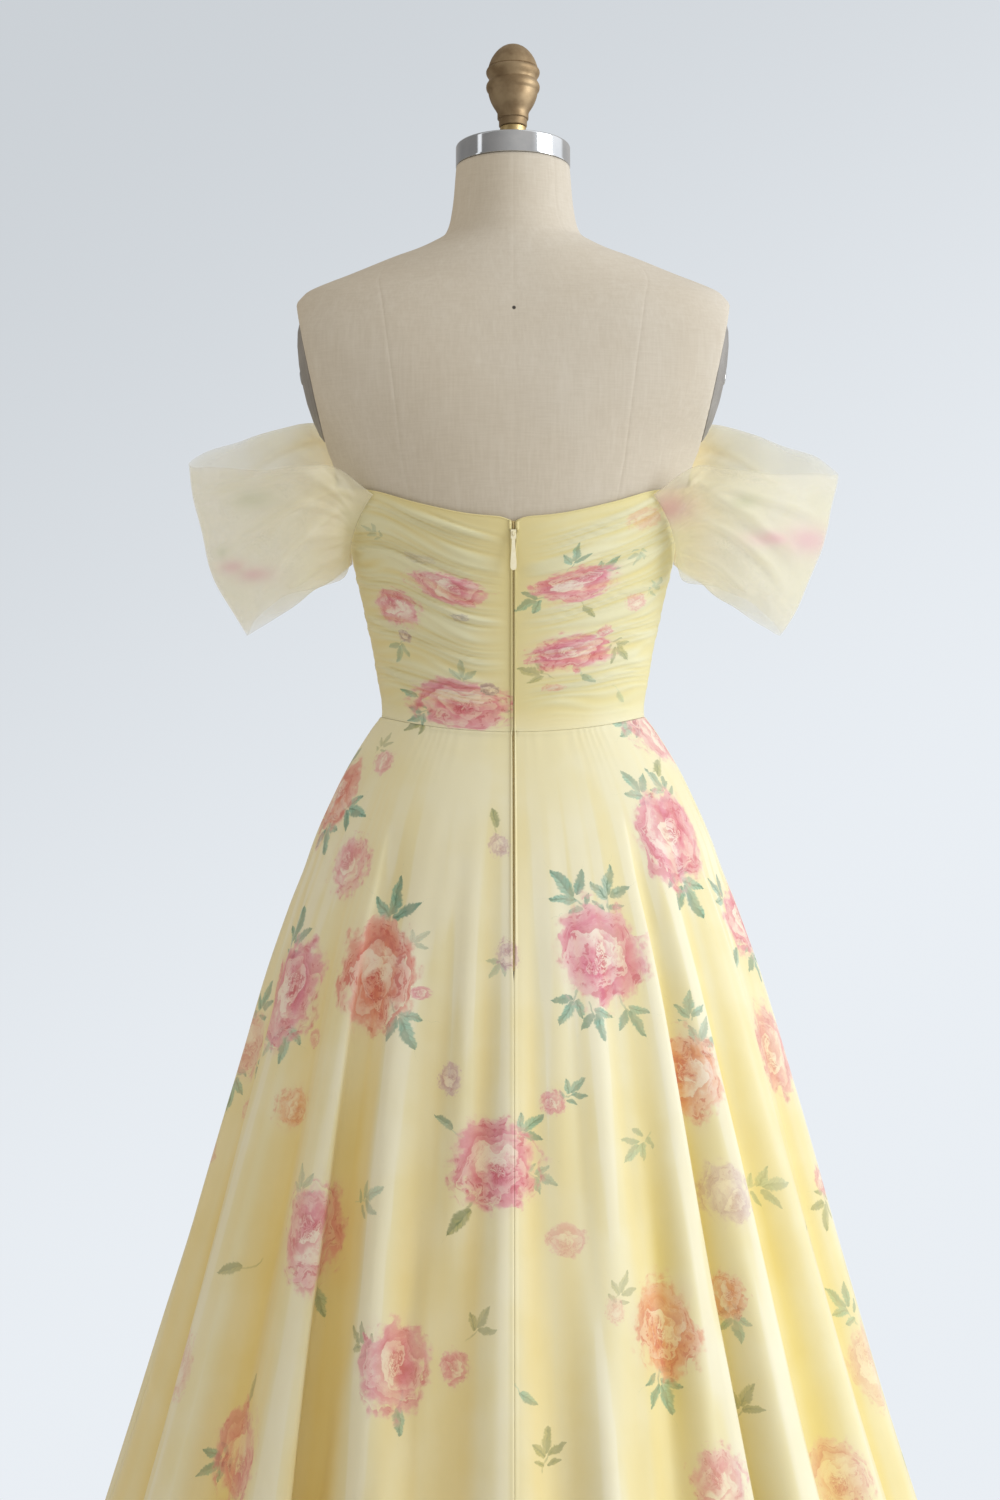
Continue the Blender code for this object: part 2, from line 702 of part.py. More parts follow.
def make_torso(collection, material):
    """The covered body: level sections joined, flat below, its neck cut square to its lean."""
    angles = body_angles()
    lean = math.tan(NECK_LEAN)
    shape = bmesh.new()
    rings = []
    for height in TORSO_ROWS:
        ring = []
        up_neck = max(height - NECK_BASE, 0.0) / (NECK_TOP - NECK_BASE)
        for angle in angles:
            point = body_point(angle, height)
            if ARMHOLE_FOOT <= height <= ARMHOLE_TOP:
                reach = ARMHOLE_REACH - ARMHOLE_SLOPE * (ARMHOLE_TOP - height)
                point.x = min(max(point.x, -reach), reach)
            point.z += lean * point.y * up_neck
            ring.append(shape.verts.new(point))
        rings.append(ring)
    for low, high in zip(rings, rings[1:]):
        for a, b, d, e in zip(low, low[1:] + low[:1], high[1:] + high[:1], high):
            shape.faces.new((a, b, d, e))
    shape.faces.new(rings[0])
    shape.faces.new(rings[-1])
    bmesh.ops.recalc_face_normals(shape, faces=shape.faces)
    mesh = bpy.data.meshes.new("form_torso")
    shape.to_mesh(mesh)
    shape.free()
    mesh.shade_smooth()
    add_object("form_torso", mesh, collection, material)


def make_neck(collection, metal, bronze, brass):
    """The neck's cap, and the finial on its stem, all on the neck's leaning axis."""
    axis = bpy.data.objects.new("neck_axis", None)
    axis.location = (0, 0, NECK_TOP)
    axis.rotation_euler = (NECK_LEAN, 0, 0)
    collection.objects.link(axis)
    edge = 0.0015
    cap_profile = [
        Turn(0, CAP_HEIGHT),
        Turn(CAP_RADIUS - edge, CAP_HEIGHT),
        Turn(CAP_RADIUS, CAP_HEIGHT - edge),
        Turn(CAP_RADIUS, edge),
        Turn(CAP_RADIUS - edge, 0),
        Turn(0, 0),
    ]
    stem_profile = [
        Turn(0, STEM_HEIGHT),
        Turn(STEM_RADIUS, STEM_HEIGHT),
        Turn(STEM_RADIUS, 0),
        Turn(0, 0),
    ]
    cap = turned("form_neck_cap", cap_profile, 40, collection, metal)
    stem = turned("form_finial_stem", stem_profile, 16, collection, brass)
    finial = turned("form_finial", FINIAL, 24, collection, bronze)
    cap.location = (0, 0, SEAM)
    stem.location = (0, 0, CAP_HEIGHT + 2 * SEAM)
    finial.location = (0, 0, CAP_HEIGHT + STEM_HEIGHT + 3 * SEAM)
    for piece in (cap, stem, finial):
        piece.parent = axis


def make_arm_plate(name, side, collection, material):
    """A domed oval plate on the flat armhole face."""
    profile = [
        Turn(0, PLATE_DOME),
        Turn(0.35, PLATE_DOME * 0.93),
        Turn(0.65, PLATE_DOME * 0.72),
        Turn(0.88, PLATE_DOME * 0.42),
        Turn(1.0, PLATE_DOME * 0.12),
        Turn(1.0, 0),
        Turn(0, 0),
    ]
    plate = turned(name, profile, 24, collection, material)
    plate.scale = (PLATE_HALF_HEIGHT, PLATE_HALF_DEPTH, 1)
    slope = math.atan(ARMHOLE_SLOPE)
    reach = ARMHOLE_REACH - ARMHOLE_SLOPE * (ARMHOLE_TOP - PLATE_MIDDLE)
    out = SEAM / math.cos(slope)
    plate.location = (side * (reach + out), 0, PLATE_MIDDLE)
    plate.rotation_euler = (0, side * (math.pi / 2 + slope), 0)


def make_stand(collection, paint, iron):
    """A pole from the round base to the flat end of the body."""
    pole_foot = BASE_HUB + SEAM
    pole_length = TORSO_ROWS[0] - SEAM - pole_foot
    pole_profile = [
        Turn(0, pole_length),
        Turn(POLE_RADIUS, pole_length),
        Turn(POLE_RADIUS, 0),
        Turn(0, 0),
    ]
    pole = turned("stand_pole", pole_profile, 20, collection, paint)
    pole.location = (0, 0, pole_foot)
    base_profile = [
        Turn(0, BASE_HUB),
        Turn(0.026, BASE_HUB),
        Turn(0.030, BASE_HUB - 0.004),
        Turn(0.034, 0.018),
        Turn(0.080, 0.014),
        Turn(BASE_RADIUS - 0.006, BASE_RIM + 0.001),
        Turn(BASE_RADIUS, BASE_RIM - 0.003),
        Turn(BASE_RADIUS, 0),
        Turn(0, 0),
    ]
    turned("stand_base", base_profile, 40, collection, iron)


def build():
    clear_scene()
    dress = make_collection("Prom dress on a dress form")
    cutters = make_collection("Cutters")
    printed = make_material("Printed chiffon", (0.87, 0.80, 0.50), 0.75)
    organza = make_material("Organza", (0.90, 0.84, 0.60), 0.60)
    tape = make_material("Zip tape", (0.80, 0.72, 0.42), 0.80)
    pull = make_material("Enamelled zip pull", (0.90, 0.85, 0.66), 0.35)
    linen = make_material("Linen", (0.70, 0.64, 0.53), 0.90)
    steel = make_material("Polished steel", (0.72, 0.73, 0.74), 0.15, 1.0)
    bronze = make_material("Bronze", (0.45, 0.33, 0.17), 0.38, 0.9)
    brass = make_material("Brass", (0.72, 0.56, 0.28), 0.30, 1.0)
    plate = make_material("Painted plate", (0.58, 0.58, 0.57), 0.55)
    iron = make_material("Cast iron", (0.18, 0.18, 0.18), 0.60, 0.3)
    make_bodice(dress, printed)
    make_skirt(dress, printed)
    make_sleeve("sleeve_left", 1, 0.0, dress, organza)
    make_sleeve("sleeve_right", -1, RIGHT_SLEEVE_SAG, dress, organza)
    make_zip_tape(dress, tape)
    make_zip_slider(dress, cutters, pull)
    make_zip_pull(dress, pull)
    make_torso(dress, linen)
    make_neck(dress, steel, bronze, brass)
    make_arm_plate("form_arm_plate_left", 1, dress, plate)
    make_arm_plate("form_arm_plate_right", -1, dress, plate)
    make_stand(dress, steel, iron)


build()
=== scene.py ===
"""Looks of the prom dress on its dress form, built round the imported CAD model.

Metres, +Z up. The back of the dress faces +Y and the wearer's left is +X. Angles round the body
start at the centre back and grow towards the wearer's left, as in the part's own source.
"""

import math
import random

import bpy
import numpy as np
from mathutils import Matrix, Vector


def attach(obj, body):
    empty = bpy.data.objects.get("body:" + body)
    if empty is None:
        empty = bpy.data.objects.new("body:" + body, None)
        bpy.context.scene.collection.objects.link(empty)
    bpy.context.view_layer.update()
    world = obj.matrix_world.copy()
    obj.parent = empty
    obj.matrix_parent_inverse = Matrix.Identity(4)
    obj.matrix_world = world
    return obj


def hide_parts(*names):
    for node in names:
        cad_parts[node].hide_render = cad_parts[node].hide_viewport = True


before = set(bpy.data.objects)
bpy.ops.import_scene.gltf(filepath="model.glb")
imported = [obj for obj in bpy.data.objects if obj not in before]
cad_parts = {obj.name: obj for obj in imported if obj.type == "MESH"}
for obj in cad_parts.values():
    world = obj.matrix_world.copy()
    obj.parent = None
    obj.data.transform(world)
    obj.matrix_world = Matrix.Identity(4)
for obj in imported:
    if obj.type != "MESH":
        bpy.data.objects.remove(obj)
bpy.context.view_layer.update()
scene = bpy.context.scene


# Studio: a round pale floor, a bluish white wall all round and one large soft light, like a
# window, high up at the photo's right. The camera stands level behind the dress.
CAMERA_PLACE = (0.0118, 2.8, 1.03)
CAMERA_LENS = 73.9
SENSOR_WIDTH = 36
LIGHT_PLACE = (-3.2, 1.2, 2.1)
LIGHT_TARGET = (0, 0, 1.0)
LIGHT_SIZE = (1.9, 2.6)
LIGHT_POWER = 88
LIGHT_COLOUR = (0.95, 0.98, 1.0)
FLOOR_RADIUS = 1.25

bpy.ops.object.camera_add(location=CAMERA_PLACE, rotation=(math.pi / 2, 0, math.pi))
camera = bpy.context.object
camera.data.lens = CAMERA_LENS
camera.data.sensor_width = SENSOR_WIDTH
scene.camera = camera
scene.view_settings.view_transform = "Standard"

bpy.ops.object.light_add(type="AREA", location=LIGHT_PLACE)
light = bpy.context.object
light.name = "window"
light.data.shape = "RECTANGLE"
light.data.size, light.data.size_y = LIGHT_SIZE
light.data.energy = LIGHT_POWER
light.data.color = LIGHT_COLOUR
aim = light.location - Vector(LIGHT_TARGET)
light.rotation_euler = aim.to_track_quat("Z", "Y").to_euler()


def maths(operation, swapped=False):
    """A method that adds a maths node, with its values the other way round if swapped."""
    def method(self, *others):
        values = (*others, self) if swapped else (self, *others)
        return self.node("ShaderNodeMath", {"operation": operation}, dict(enumerate(values)))
    return method


class Wire:
    """A socket of a shader's nodes. Sums written with wires add their own maths nodes."""

    __add__, __radd__ = maths("ADD"), maths("ADD", swapped=True)
    __sub__, __rsub__ = maths("SUBTRACT"), maths("SUBTRACT", swapped=True)
    __mul__, __rmul__ = maths("MULTIPLY"), maths("MULTIPLY", swapped=True)
    __truediv__, __pow__ = maths("DIVIDE"), maths("POWER")
    least, most = maths("MINIMUM"), maths("MAXIMUM")
    # part is what is left past the last whole number
    size, part, sin = maths("ABSOLUTE"), maths("FRACT"), maths("SINE")

    def __init__(self, tree, end):
        self.tree = tree
        self.end = end

    def node(self, kind, settings, inputs, out=0):
        """Add any node: its settings first, then the values or wires of its sockets."""
        made = self.tree.nodes.new(kind)
        for name, value in settings.items():
            setattr(made, name, value)
        for name, value in inputs.items():
            if isinstance(value, Wire):
                self.tree.links.new(value.end, made.inputs[name])
            else:
                made.inputs[name].default_value = value
        return Wire(self.tree, made.outputs[out])

    def twin(self, name):
        """Another output of the same node."""
        return Wire(self.tree, self.end.node.outputs[name])

    def ease(self, start, end):
        """Goes smoothly from 0 at start to 1 at end; start may be the larger."""
        low, high, first, last = (start, end, 0, 1) if start < end else (end, start, 1, 0)
        limits = {"Value": self, "From Min": low, "From Max": high, "To Min": first, "To Max": last}
        return self.node("ShaderNodeMapRange", {"interpolation_type": "SMOOTHSTEP"}, limits)

    def blend(self, first, second):
        """A colour between two, by this wire."""
        first, second = [c if isinstance(c, Wire) else (*c, 1) for c in (first, second)]
        ends = {0: self, 6: first, 7: second}
        return self.node("ShaderNodeMix", {"data_type": "RGBA"}, ends, out=2)

    def times(self, colour):
        """This colour multiplied by another."""
        other = colour if isinstance(colour, Wire) else (*colour, 1)
        settings = {"data_type": "RGBA", "blend_type": "MULTIPLY"}
        return self.node("ShaderNodeMix", settings, {0: 1.0, 6: self, 7: other}, out=2)

    def stretched(self, scale):
        """These coordinates scaled along each axis."""
        inputs = {"Vector": self, "Scale": scale}
        return self.node("ShaderNodeMapping", {"vector_type": "POINT"}, inputs)

    def noise(self, scale, detail=2.0, out=0):
        inputs = {"Vector": self, "Scale": scale, "Detail": detail}
        return self.node("ShaderNodeTexNoise", {}, inputs, out)

    def axes(self):
        """The three numbers of a vector."""
        first = self.node("ShaderNodeSeparateXYZ", {}, {"Vector": self}, out="X")
        return first, first.twin("Y"), first.twin("Z")

    def vector(self, x, y, z):
        return self.node("ShaderNodeCombineXYZ", {}, {"X": x, "Y": y, "Z": z})

    def bump(self, strength, distance, under=None):
        """A normal raised by this height, over another normal."""
        inputs = {"Height": self, "Strength": strength, "Distance": distance}
        if under:
            inputs["Normal"] = under
        return self.node("ShaderNodeBump", {}, inputs)


# The wall is the world itself, a little brighter towards the lower right. The cloth is lit by the
# rest of the room, cool at the right and warm at the left. The metal mirrors a grey room with a
# wide window at the right and a narrow one at the left.
world = bpy.data.worlds.new("Studio")
scene.world = world
world.use_nodes = True
sky = world.node_tree.nodes["Background"]
rays = world.node_tree.nodes.new("ShaderNodeLightPath")
path = Wire(world.node_tree, rays.outputs["Is Camera Ray"])
seen = path.node("ShaderNodeTexCoord", {}, {}, out="Generated")
side, back, up = seen.axes()
beside = side.ease(0.8, -0.8).blend((0.68, 0.60, 0.48), (0.90, 0.94, 1.0))
lighting = back.ease(-0.2, 0.6).blend(beside, (0.705, 0.675, 0.62))
room = side.ease(0.9, -0.4).blend((0.22, 0.215, 0.21), (0.50, 0.49, 0.48))
bearing = side / (side * side + back * back) ** 0.5
wide = bearing.ease(-0.62, -0.96) * back.ease(-0.56, -0.40)
narrow = bearing.ease(0.92, 0.94) * bearing.ease(0.985, 0.970) * back.ease(0.0, 0.1)
mirrored = (wide + narrow).blend(room, (1.0, 1.02, 1.05))
down_right = 0.835 - 1.6 * side - 2.6 * up
wall = down_right.ease(-0.1, 1.2).blend((0.60, 0.635, 0.67), (0.82, 0.86, 0.905))
around = path.twin("Is Glossy Ray").blend(lighting, mirrored)
world.node_tree.links.new(path.blend(around, wall).end, sky.inputs["Color"])


def bare():
    """Deselect everything and leave edit mode, before a new piece is added."""
    if bpy.context.object and bpy.context.object.mode != "OBJECT":
        bpy.ops.object.mode_set(mode="OBJECT")
    bpy.ops.object.select_all(action="DESELECT")


class Finish:
    """A new material: its main shader, its wires to start from, and its links."""

    def __init__(self, name, colour, roughness, metallic=0.0, **plain):
        self.material = bpy.data.materials.new(name)
        self.material.use_nodes = True
        self.tree = self.material.node_tree
        self.shader = self.tree.nodes["Principled BSDF"]
        self.shader.inputs["Base Color"].default_value = (*colour, 1)
        self.shader.inputs["Roughness"].default_value = roughness
        self.shader.inputs["Metallic"].default_value = metallic
        for socket, value in plain.items():
            self.shader.inputs[socket.replace("_", " ")].default_value = value
        self.material.diffuse_color = (*colour, 1)
        texture = self.tree.nodes.new("ShaderNodeTexCoord")
        self.place = Wire(self.tree, texture.outputs["Object"])

    def attribute(self, name, out="Vector"):
        return self.place.node("ShaderNodeAttribute", {"attribute_name": name}, {}, out=out)

    def link(self, **wires):
        for socket, wire in wires.items():
            self.tree.links.new(wire.end, self.shader.inputs[socket.replace("_", " ")])

    def wear(self, scale, detail, roughness, change=None, tones=None, stretch=None):
        """Stains that add to a clean roughness and turn the colour from one tone to another."""
        place = self.place.stretched(stretch) if stretch else self.place
        stains = place.noise(scale, detail)
        self.link(Roughness=roughness[0] + roughness[1] * stains)
        if tones:
            self.link(Base_Color=stains.ease(*change).blend(*tones))
        return stains


def coat(piece, finish):
    """Give a piece this finish alone."""
    piece.data.materials.clear()
    piece.data.materials.append(finish.material)


def dress_in(piece, finish):
    """Give a piece its material and parent it to the dress. It moves with the dress."""
    coat(piece, finish)
    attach(piece, "dress")


bare()
bpy.ops.mesh.primitive_circle_add(vertices=96, radius=FLOOR_RADIUS, fill_type="NGON")
floor = bpy.context.object
floor.name = "studio_floor"
paint = Finish("Studio floor", (0.80, 0.77, 0.72), 0.9)
paint.link(Base_Color=paint.place.noise(3.0).blend((0.79, 0.76, 0.71), (0.83, 0.80, 0.75)))
coat(floor, paint)


# Stand: a heavy round cast-iron base, painted dark grey, and a polished steel pole that screws
# into its hub and holds the body up. Both are the CAD's own solids with their real finishes.
IRON_TONES = ((0.045, 0.046, 0.048), (0.085, 0.084, 0.082))

iron = Finish("Painted cast iron", (0.055, 0.056, 0.058), 0.55)
iron.wear(26.0, 4.0, (0.45, 0.25), (0.35, 0.75), IRON_TONES)
iron.link(Normal=iron.place.noise(420.0, 3.0).bump(0.35, 0.0006))
steel = Finish("Polished steel", (0.74, 0.75, 0.76), 0.12, 1.0)
steel.wear(60.0, 3.0, (0.07, 0.12), stretch=(1, 1, 0.2))
coat(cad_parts["stand_base"], iron)
coat(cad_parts["stand_pole"], steel)


# Body of the form: a moulded shell covered in natural linen. The cover is cut in panels, so it has
# a seam down the centre back and front, a princess seam either side, side seams and a neck seam.
NECK_LEAN = math.radians(7.0)
NECK_TOP = 1.5585
NECK_BASE = 1.4975
ARMHOLE_TOP = 1.430
ARMHOLE_FOOT = 1.300
ARMHOLE_REACH = 0.195
ARMHOLE_SLOPE = 0.208
BUST_RISE = 0.022
BUST_APART = 0.085
BUST_HEIGHT = 1.262
BUST_SPREAD = (0.045, 0.055)
# Level sections: height, half width, depth of the back, depth of the front, squareness
BODY = np.array([
    (0.8000, 0.1630, 0.108, 0.106, 2.2),
    (0.8600, 0.1670, 0.114, 0.110, 2.2),
    (0.9000, 0.1650, 0.112, 0.110, 2.2),
    (0.9530, 0.1580, 0.102, 0.108, 2.1),
    (0.9850, 0.1490, 0.093, 0.105, 2.1),
    (1.0160, 0.1370, 0.083, 0.101, 2.0),
    (1.0600, 0.1172, 0.074, 0.096, 2.0),
    (1.1080, 0.1215, 0.077, 0.099, 2.0),
    (1.1500, 0.1300, 0.084, 0.106, 2.0),
    (1.2000, 0.1415, 0.094, 0.112, 2.0),
    (1.2500, 0.1530, 0.102, 0.118, 2.1),
    (1.3000, 0.1680, 0.106, 0.116, 2.2),
    (1.3500, 0.2000, 0.106, 0.110, 2.4),
    (1.4000, 0.2150, 0.098, 0.100, 2.6),
    (1.4250, 0.2030, 0.092, 0.092, 2.5),
    (1.4390, 0.1927, 0.087, 0.084, 2.3),
    (1.4464, 0.1841, 0.084, 0.080, 2.1),
    (1.4610, 0.1477, 0.079, 0.073, 2.0),
    (1.4755, 0.1114, 0.073, 0.067, 2.0),
    (1.4827, 0.0905, 0.070, 0.063, 2.0),
    (1.4900, 0.0741, 0.067, 0.060, 2.0),
    (1.4975, 0.0620, 0.064, 0.056, 2.0),
    (1.5190, 0.0555, 0.056, 0.052, 2.0),
    (1.5585, 0.0516, 0.050, 0.052, 2.0),
])
# Where the princess seams lie: height, distance from the middle at the back and at the front
PRINCESS = np.array([
    (0.800, 0.090, 0.095),
    (0.900, 0.086, 0.092),
    (1.060, 0.060, 0.066),
    (1.150, 0.075, 0.080),
    (1.260, 0.0933, 0.086),
    (1.290, 0.0985, 0.090),
    (1.360, 0.1070, 0.104),
    (1.430, 0.1165, 0.116),
    (1.452, 0.1190, 0.119),
    (1.4700, 0.1050, 0.105),
    (1.4827, 0.0700, 0.070),
    (1.4975, 0.0440, 0.044),
    (1.5585, 0.0365, 0.0365),
])
# How deep the seams are: back, left back, left front, front, right front, right back
SEAM_DEPTHS = (0.0001, 0.0003, 0.0004, 0.0004, 0.0004, 0.0003)
# A seam's groove: each line's distance beside the seam, and its share of the depth
SEAM_LINES = (
    (-0.0045, 0.0), (-0.0018, -0.12), (-0.0007, 0.6), (0.0, 1.0), (0.0007, 0.6), (0.0018, -0.12),
    (0.0045, 0.0),
)
NECK_SEAM = 1.4925
NECK_SEAM_WIDTH = 0.0008
# Columns from seam to seam round one half, and the row of points at the waist
COLUMNS = (22, 20, 18, 22)
WAIST_ROW = 40
LEAST_HALF_WIDTH = 0.05
ON_THE_EDGE = 0.0001


def read(table, column, at):
    """A column of a table at keys between its rows, on a smooth curve through them."""
    keys, values = table[:, 0], table[:, column]
    slopes = np.gradient(values, keys)
    slopes[1:-1] = (values[2:] - values[:-2]) / (keys[2:] - keys[:-2])
    at = np.clip(at, keys[0], keys[-1])
    low = np.clip(np.searchsorted(keys, at, side="right") - 1, 0, len(keys) - 2)
    span = keys[low + 1] - keys[low]
    t = (at - keys[low]) / span
    smooth = t * t * (3 - 2 * t)
    start = t * (1 - t) ** 2 * span * slopes[low]
    end = t * t * (t - 1) * span * slopes[low + 1]
    return values[low] * (1 - smooth) + values[low + 1] * smooth + start + end


def oval(angle, half_width, depth, square, height):
    """Points of level sections, superellipses, at angles from the centre back."""
    side, rear = np.sin(angle), np.cos(angle)
    x = half_width * np.sign(side) * np.abs(side) ** (2 / square)
    y = depth * np.sign(rear) * np.abs(rear) ** (2 / square)
    return np.stack(np.broadcast_arrays(x, y, height), axis=-1)


def body_points(angle, height, out):
    """Points on the form's surface, or a distance out from it."""
    rear = np.cos(angle) > 0
    depth = np.where(rear, read(BODY, 2, height), read(BODY, 3, height)) + out
    half_width = read(BODY, 1, height) + out
    points = oval(angle, half_width, depth, read(BODY, 4, height), height)
    across = (np.abs(points[..., 0]) - BUST_APART) / BUST_SPREAD[0]
    above = (height - BUST_HEIGHT) / BUST_SPREAD[1]
    bust = BUST_RISE * np.exp(-across ** 2 - above ** 2)
    points[..., 1] -= np.where(rear, 0, bust * -np.cos(angle))
    return points


def lay_grid(name, points, closed=False):
    """A sheet of mesh, rows by columns, with its vertices laid on these points."""
    rows, columns = points.shape[:2]
    bare()
    bpy.ops.mesh.primitive_grid_add(x_subdivisions=columns - 1, y_subdivisions=rows - 1, size=1)
    sheet = bpy.context.object
    sheet.name = name
    sheet.data.name = name
    sheet.data.vertices.foreach_set("co", points.reshape(-1).astype(np.float32))
    sheet.data.update()
    if closed:
        bpy.ops.object.mode_set(mode="EDIT")
        bpy.ops.mesh.select_all(action="SELECT")
        bpy.ops.mesh.remove_doubles(threshold=0.00001)
        bpy.ops.object.mode_set(mode="OBJECT")
    bpy.ops.object.shade_smooth()
    return sheet


def princess_angle(height, column):
    """The angle of a princess seam from the middle of the back, or of the front."""
    share = read(PRINCESS, column, height) / read(BODY, 1, height)
    return np.arcsin(np.clip(share, 0, 0.985) ** (read(BODY, 4, height) / 2))


heights = np.concatenate([
    np.linspace(0.800, 1.25, 70)[:-1],
    np.linspace(1.25, 1.415, 40)[:-1],
    np.linspace(1.415, 1.488, 42)[:-1],
    [1.4885, 1.4903, 1.4914, 1.4921, NECK_SEAM, 1.4929, 1.4936, 1.4947, 1.4965],
    np.linspace(1.4985, NECK_TOP, 22),
])
back_seam = princess_angle(heights, 1)
front_seam = math.pi - princess_angle(heights, 2)
middle, quarter, half = (np.full_like(heights, turn * math.pi) for turn in (0, 0.5, 1))
corners = [middle, back_seam, quarter, front_seam, half]
left_half = []
for start, end, count in zip(corners, corners[1:], COLUMNS):
    left_half += [start + (end - start) * i / count for i in range(count)]
left_half = np.stack(left_half + [half], axis=1)
around_body = np.concatenate([left_half, -left_half[:, -2::-1]], axis=1)[:, ::-1]
# Columns beside each seam are drawn close to it, so that its groove is narrow
reach = np.maximum(read(BODY, 1, heights), LEAST_HALF_WIDTH)
grooves = np.zeros_like(around_body)
seams = [middle, back_seam, front_seam, half, -front_seam, -back_seam]
for seam, seam_depth in zip(seams, SEAM_DEPTHS):
    off = (around_body - seam[:, None] + math.pi) % (2 * math.pi) - math.pi
    first = np.argmin(np.abs(off[WAIST_ROW])) - len(SEAM_LINES) // 2
    for step, (width, share) in enumerate(SEAM_LINES):
        column = (first + step) % (around_body.shape[1] - 1)
        around_body[:, column] = seam - width / reach
        grooves[:, column] = share * seam_depth
around_body[:, -1] = around_body[:, 0]
grooves[:, -1] = grooves[:, 0]
torso = body_points(around_body, heights[:, None], 0.0)
ring = np.exp(-((heights - NECK_SEAM) / NECK_SEAM_WIDTH) ** 2)[:, None] * SEAM_DEPTHS[0]
level = torso * (1, 1, 0)
level /= np.linalg.norm(level, axis=2, keepdims=True)
torso -= level * np.maximum(grooves, ring)[..., None]
clamp = ARMHOLE_REACH - ARMHOLE_SLOPE * np.maximum(ARMHOLE_TOP - heights, 0)
clamp = np.where(heights >= ARMHOLE_FOOT, clamp, 1.0)[:, None]
torso[..., 0] = np.clip(torso[..., 0], -clamp, clamp)
up_neck = np.maximum(heights - NECK_BASE, 0) / (NECK_TOP - NECK_BASE)
torso[..., 2] += math.tan(NECK_LEAN) * torso[..., 1] * up_neck[:, None]
form = lay_grid("linen_body", torso, closed=True)
bpy.ops.object.mode_set(mode="EDIT")
bpy.ops.mesh.select_mode(type="EDGE")
for end, slope in ((heights[0], 0), (NECK_TOP, math.tan(NECK_LEAN))):
    bpy.ops.mesh.select_all(action="DESELECT")
    bpy.ops.object.mode_set(mode="OBJECT")
    for edge in form.data.edges:
        places = [form.data.vertices[i].co for i in edge.vertices]
        edge.select = all(abs(p.z - end - slope * p.y) < ON_THE_EDGE for p in places)
    bpy.ops.object.mode_set(mode="EDIT")
    bpy.ops.mesh.fill()
bpy.ops.object.mode_set(mode="OBJECT")
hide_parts("form_torso")

# A small dark pin head at the centre back
PIN_PLACE = (-0.0005, 1.419)
PIN_EDGE = (0.0000042, 0.0000012)
linen = Finish("Natural linen", (0.57, 0.52, 0.44), 0.92)
x, y, z = linen.place.axes()
warp = linen.place.stretched((1, 1, 0.06)).noise(520.0, 2.0)
weft = linen.place.stretched((0.08, 0.08, 1)).noise(900.0, 2.0)
slub = linen.place.stretched((1, 1, 0.12)).noise(150.0, 3.0)
soil = linen.place.noise(9.0, 3.0)
pin = ((x - PIN_PLACE[0]) ** 2 + (z - PIN_PLACE[1]) ** 2).ease(*PIN_EDGE) * y.ease(0.0, 0.01)
threads = 0.5 * warp + 0.5 * weft
tone = threads.ease(0.3, 0.7).blend((0.55, 0.498, 0.42), (0.595, 0.545, 0.468))
tone = (0.35 * slub.ease(0.5, 0.8)).blend(tone, (0.65, 0.61, 0.54))
tone = soil.ease(0.3, 0.7).blend(tone, tone.times((0.97, 0.955, 0.93)))
linen.link(
    Base_Color=pin.blend(tone, (0.05, 0.045, 0.04)),
    Roughness=0.86 + 0.10 * slub,
    Normal=(threads + 0.5 * slub).bump(0.14, 0.0004),
)
dress_in(form, linen)


# Arm plates: domed oval plates of painted steel, screwed over the flat armholes of the body.
SCREW_HEAD = [
    (0.0050, 0.0), (0.0060, 0.0), (0.0063, 0.0003), (0.0060, 0.0007), (0.0048, 0.0011),
    (0.0028, 0.0013), (0.0025, 0.0012), (0.0024, 0.0004),
]
SCREW_HEIGHT = 1.368
SCREW_SUNK = 0.0003
BESIDE_ARM = 0.4
CREASE_ANGLE = math.radians(32)
PLATE_TONES = ((0.24, 0.225, 0.21), (0.31, 0.295, 0.28))


def turn_on_lathe(name, profile, steps, place, lean):
    """A turned piece: a ring drawn up and sized along its profile, then set in its place."""
    bare()
    bpy.ops.mesh.primitive_circle_add(vertices=steps, radius=profile[0][0], fill_type="NGON")
    piece = bpy.context.object
    piece.name = name
    piece.data.name = name
    bpy.ops.object.mode_set(mode="EDIT")
    for (radius, height), (wider, higher) in zip(profile, profile[1:]):
        rise = {"value": (0, 0, higher - height)}
        bpy.ops.mesh.extrude_region_move(TRANSFORM_OT_translate=rise)
        grow = wider / radius
        bpy.ops.transform.resize(value=(grow, grow, 1))
    bpy.ops.mesh.select_all(action="SELECT")
    bpy.ops.mesh.normals_make_consistent(inside=False)
    bpy.ops.object.mode_set(mode="OBJECT")
    piece.location = place
    piece.rotation_euler = lean
    bpy.ops.object.transform_apply(location=True, rotation=True, scale=True)
    bpy.ops.object.shade_smooth_by_angle(angle=CREASE_ANGLE)
    return piece


plate_paint = Finish("Painted plate", (0.27, 0.255, 0.24), 0.5)
plate_paint.wear(40.0, 4.0, (0.38, 0.2), (0.3, 0.8), PLATE_TONES)
plate_paint.link(Normal=plate_paint.place.noise(700.0).bump(0.12, 0.0003))
zinc = Finish("Zinc screw", (0.62, 0.62, 0.61), 0.3, 1.0)
zinc.wear(400.0, 3.0, (0.24, 0.2))
for side, name in ((1, "left"), (-1, "right")):
    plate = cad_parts["form_arm_plate_" + name]
    coat(plate, plate_paint)
    bpy.context.view_layer.update()
    spot, facing = plate.ray_cast((side * BESIDE_ARM, 0, SCREW_HEIGHT), (-side, 0, 0))[1:3]
    lean = facing.to_track_quat("Z", "Y").to_euler()
    screw = turn_on_lathe("plate_screw_" + name, SCREW_HEAD, 40, spot - SCREW_SUNK * facing, lean)
    dress_in(screw, zinc)


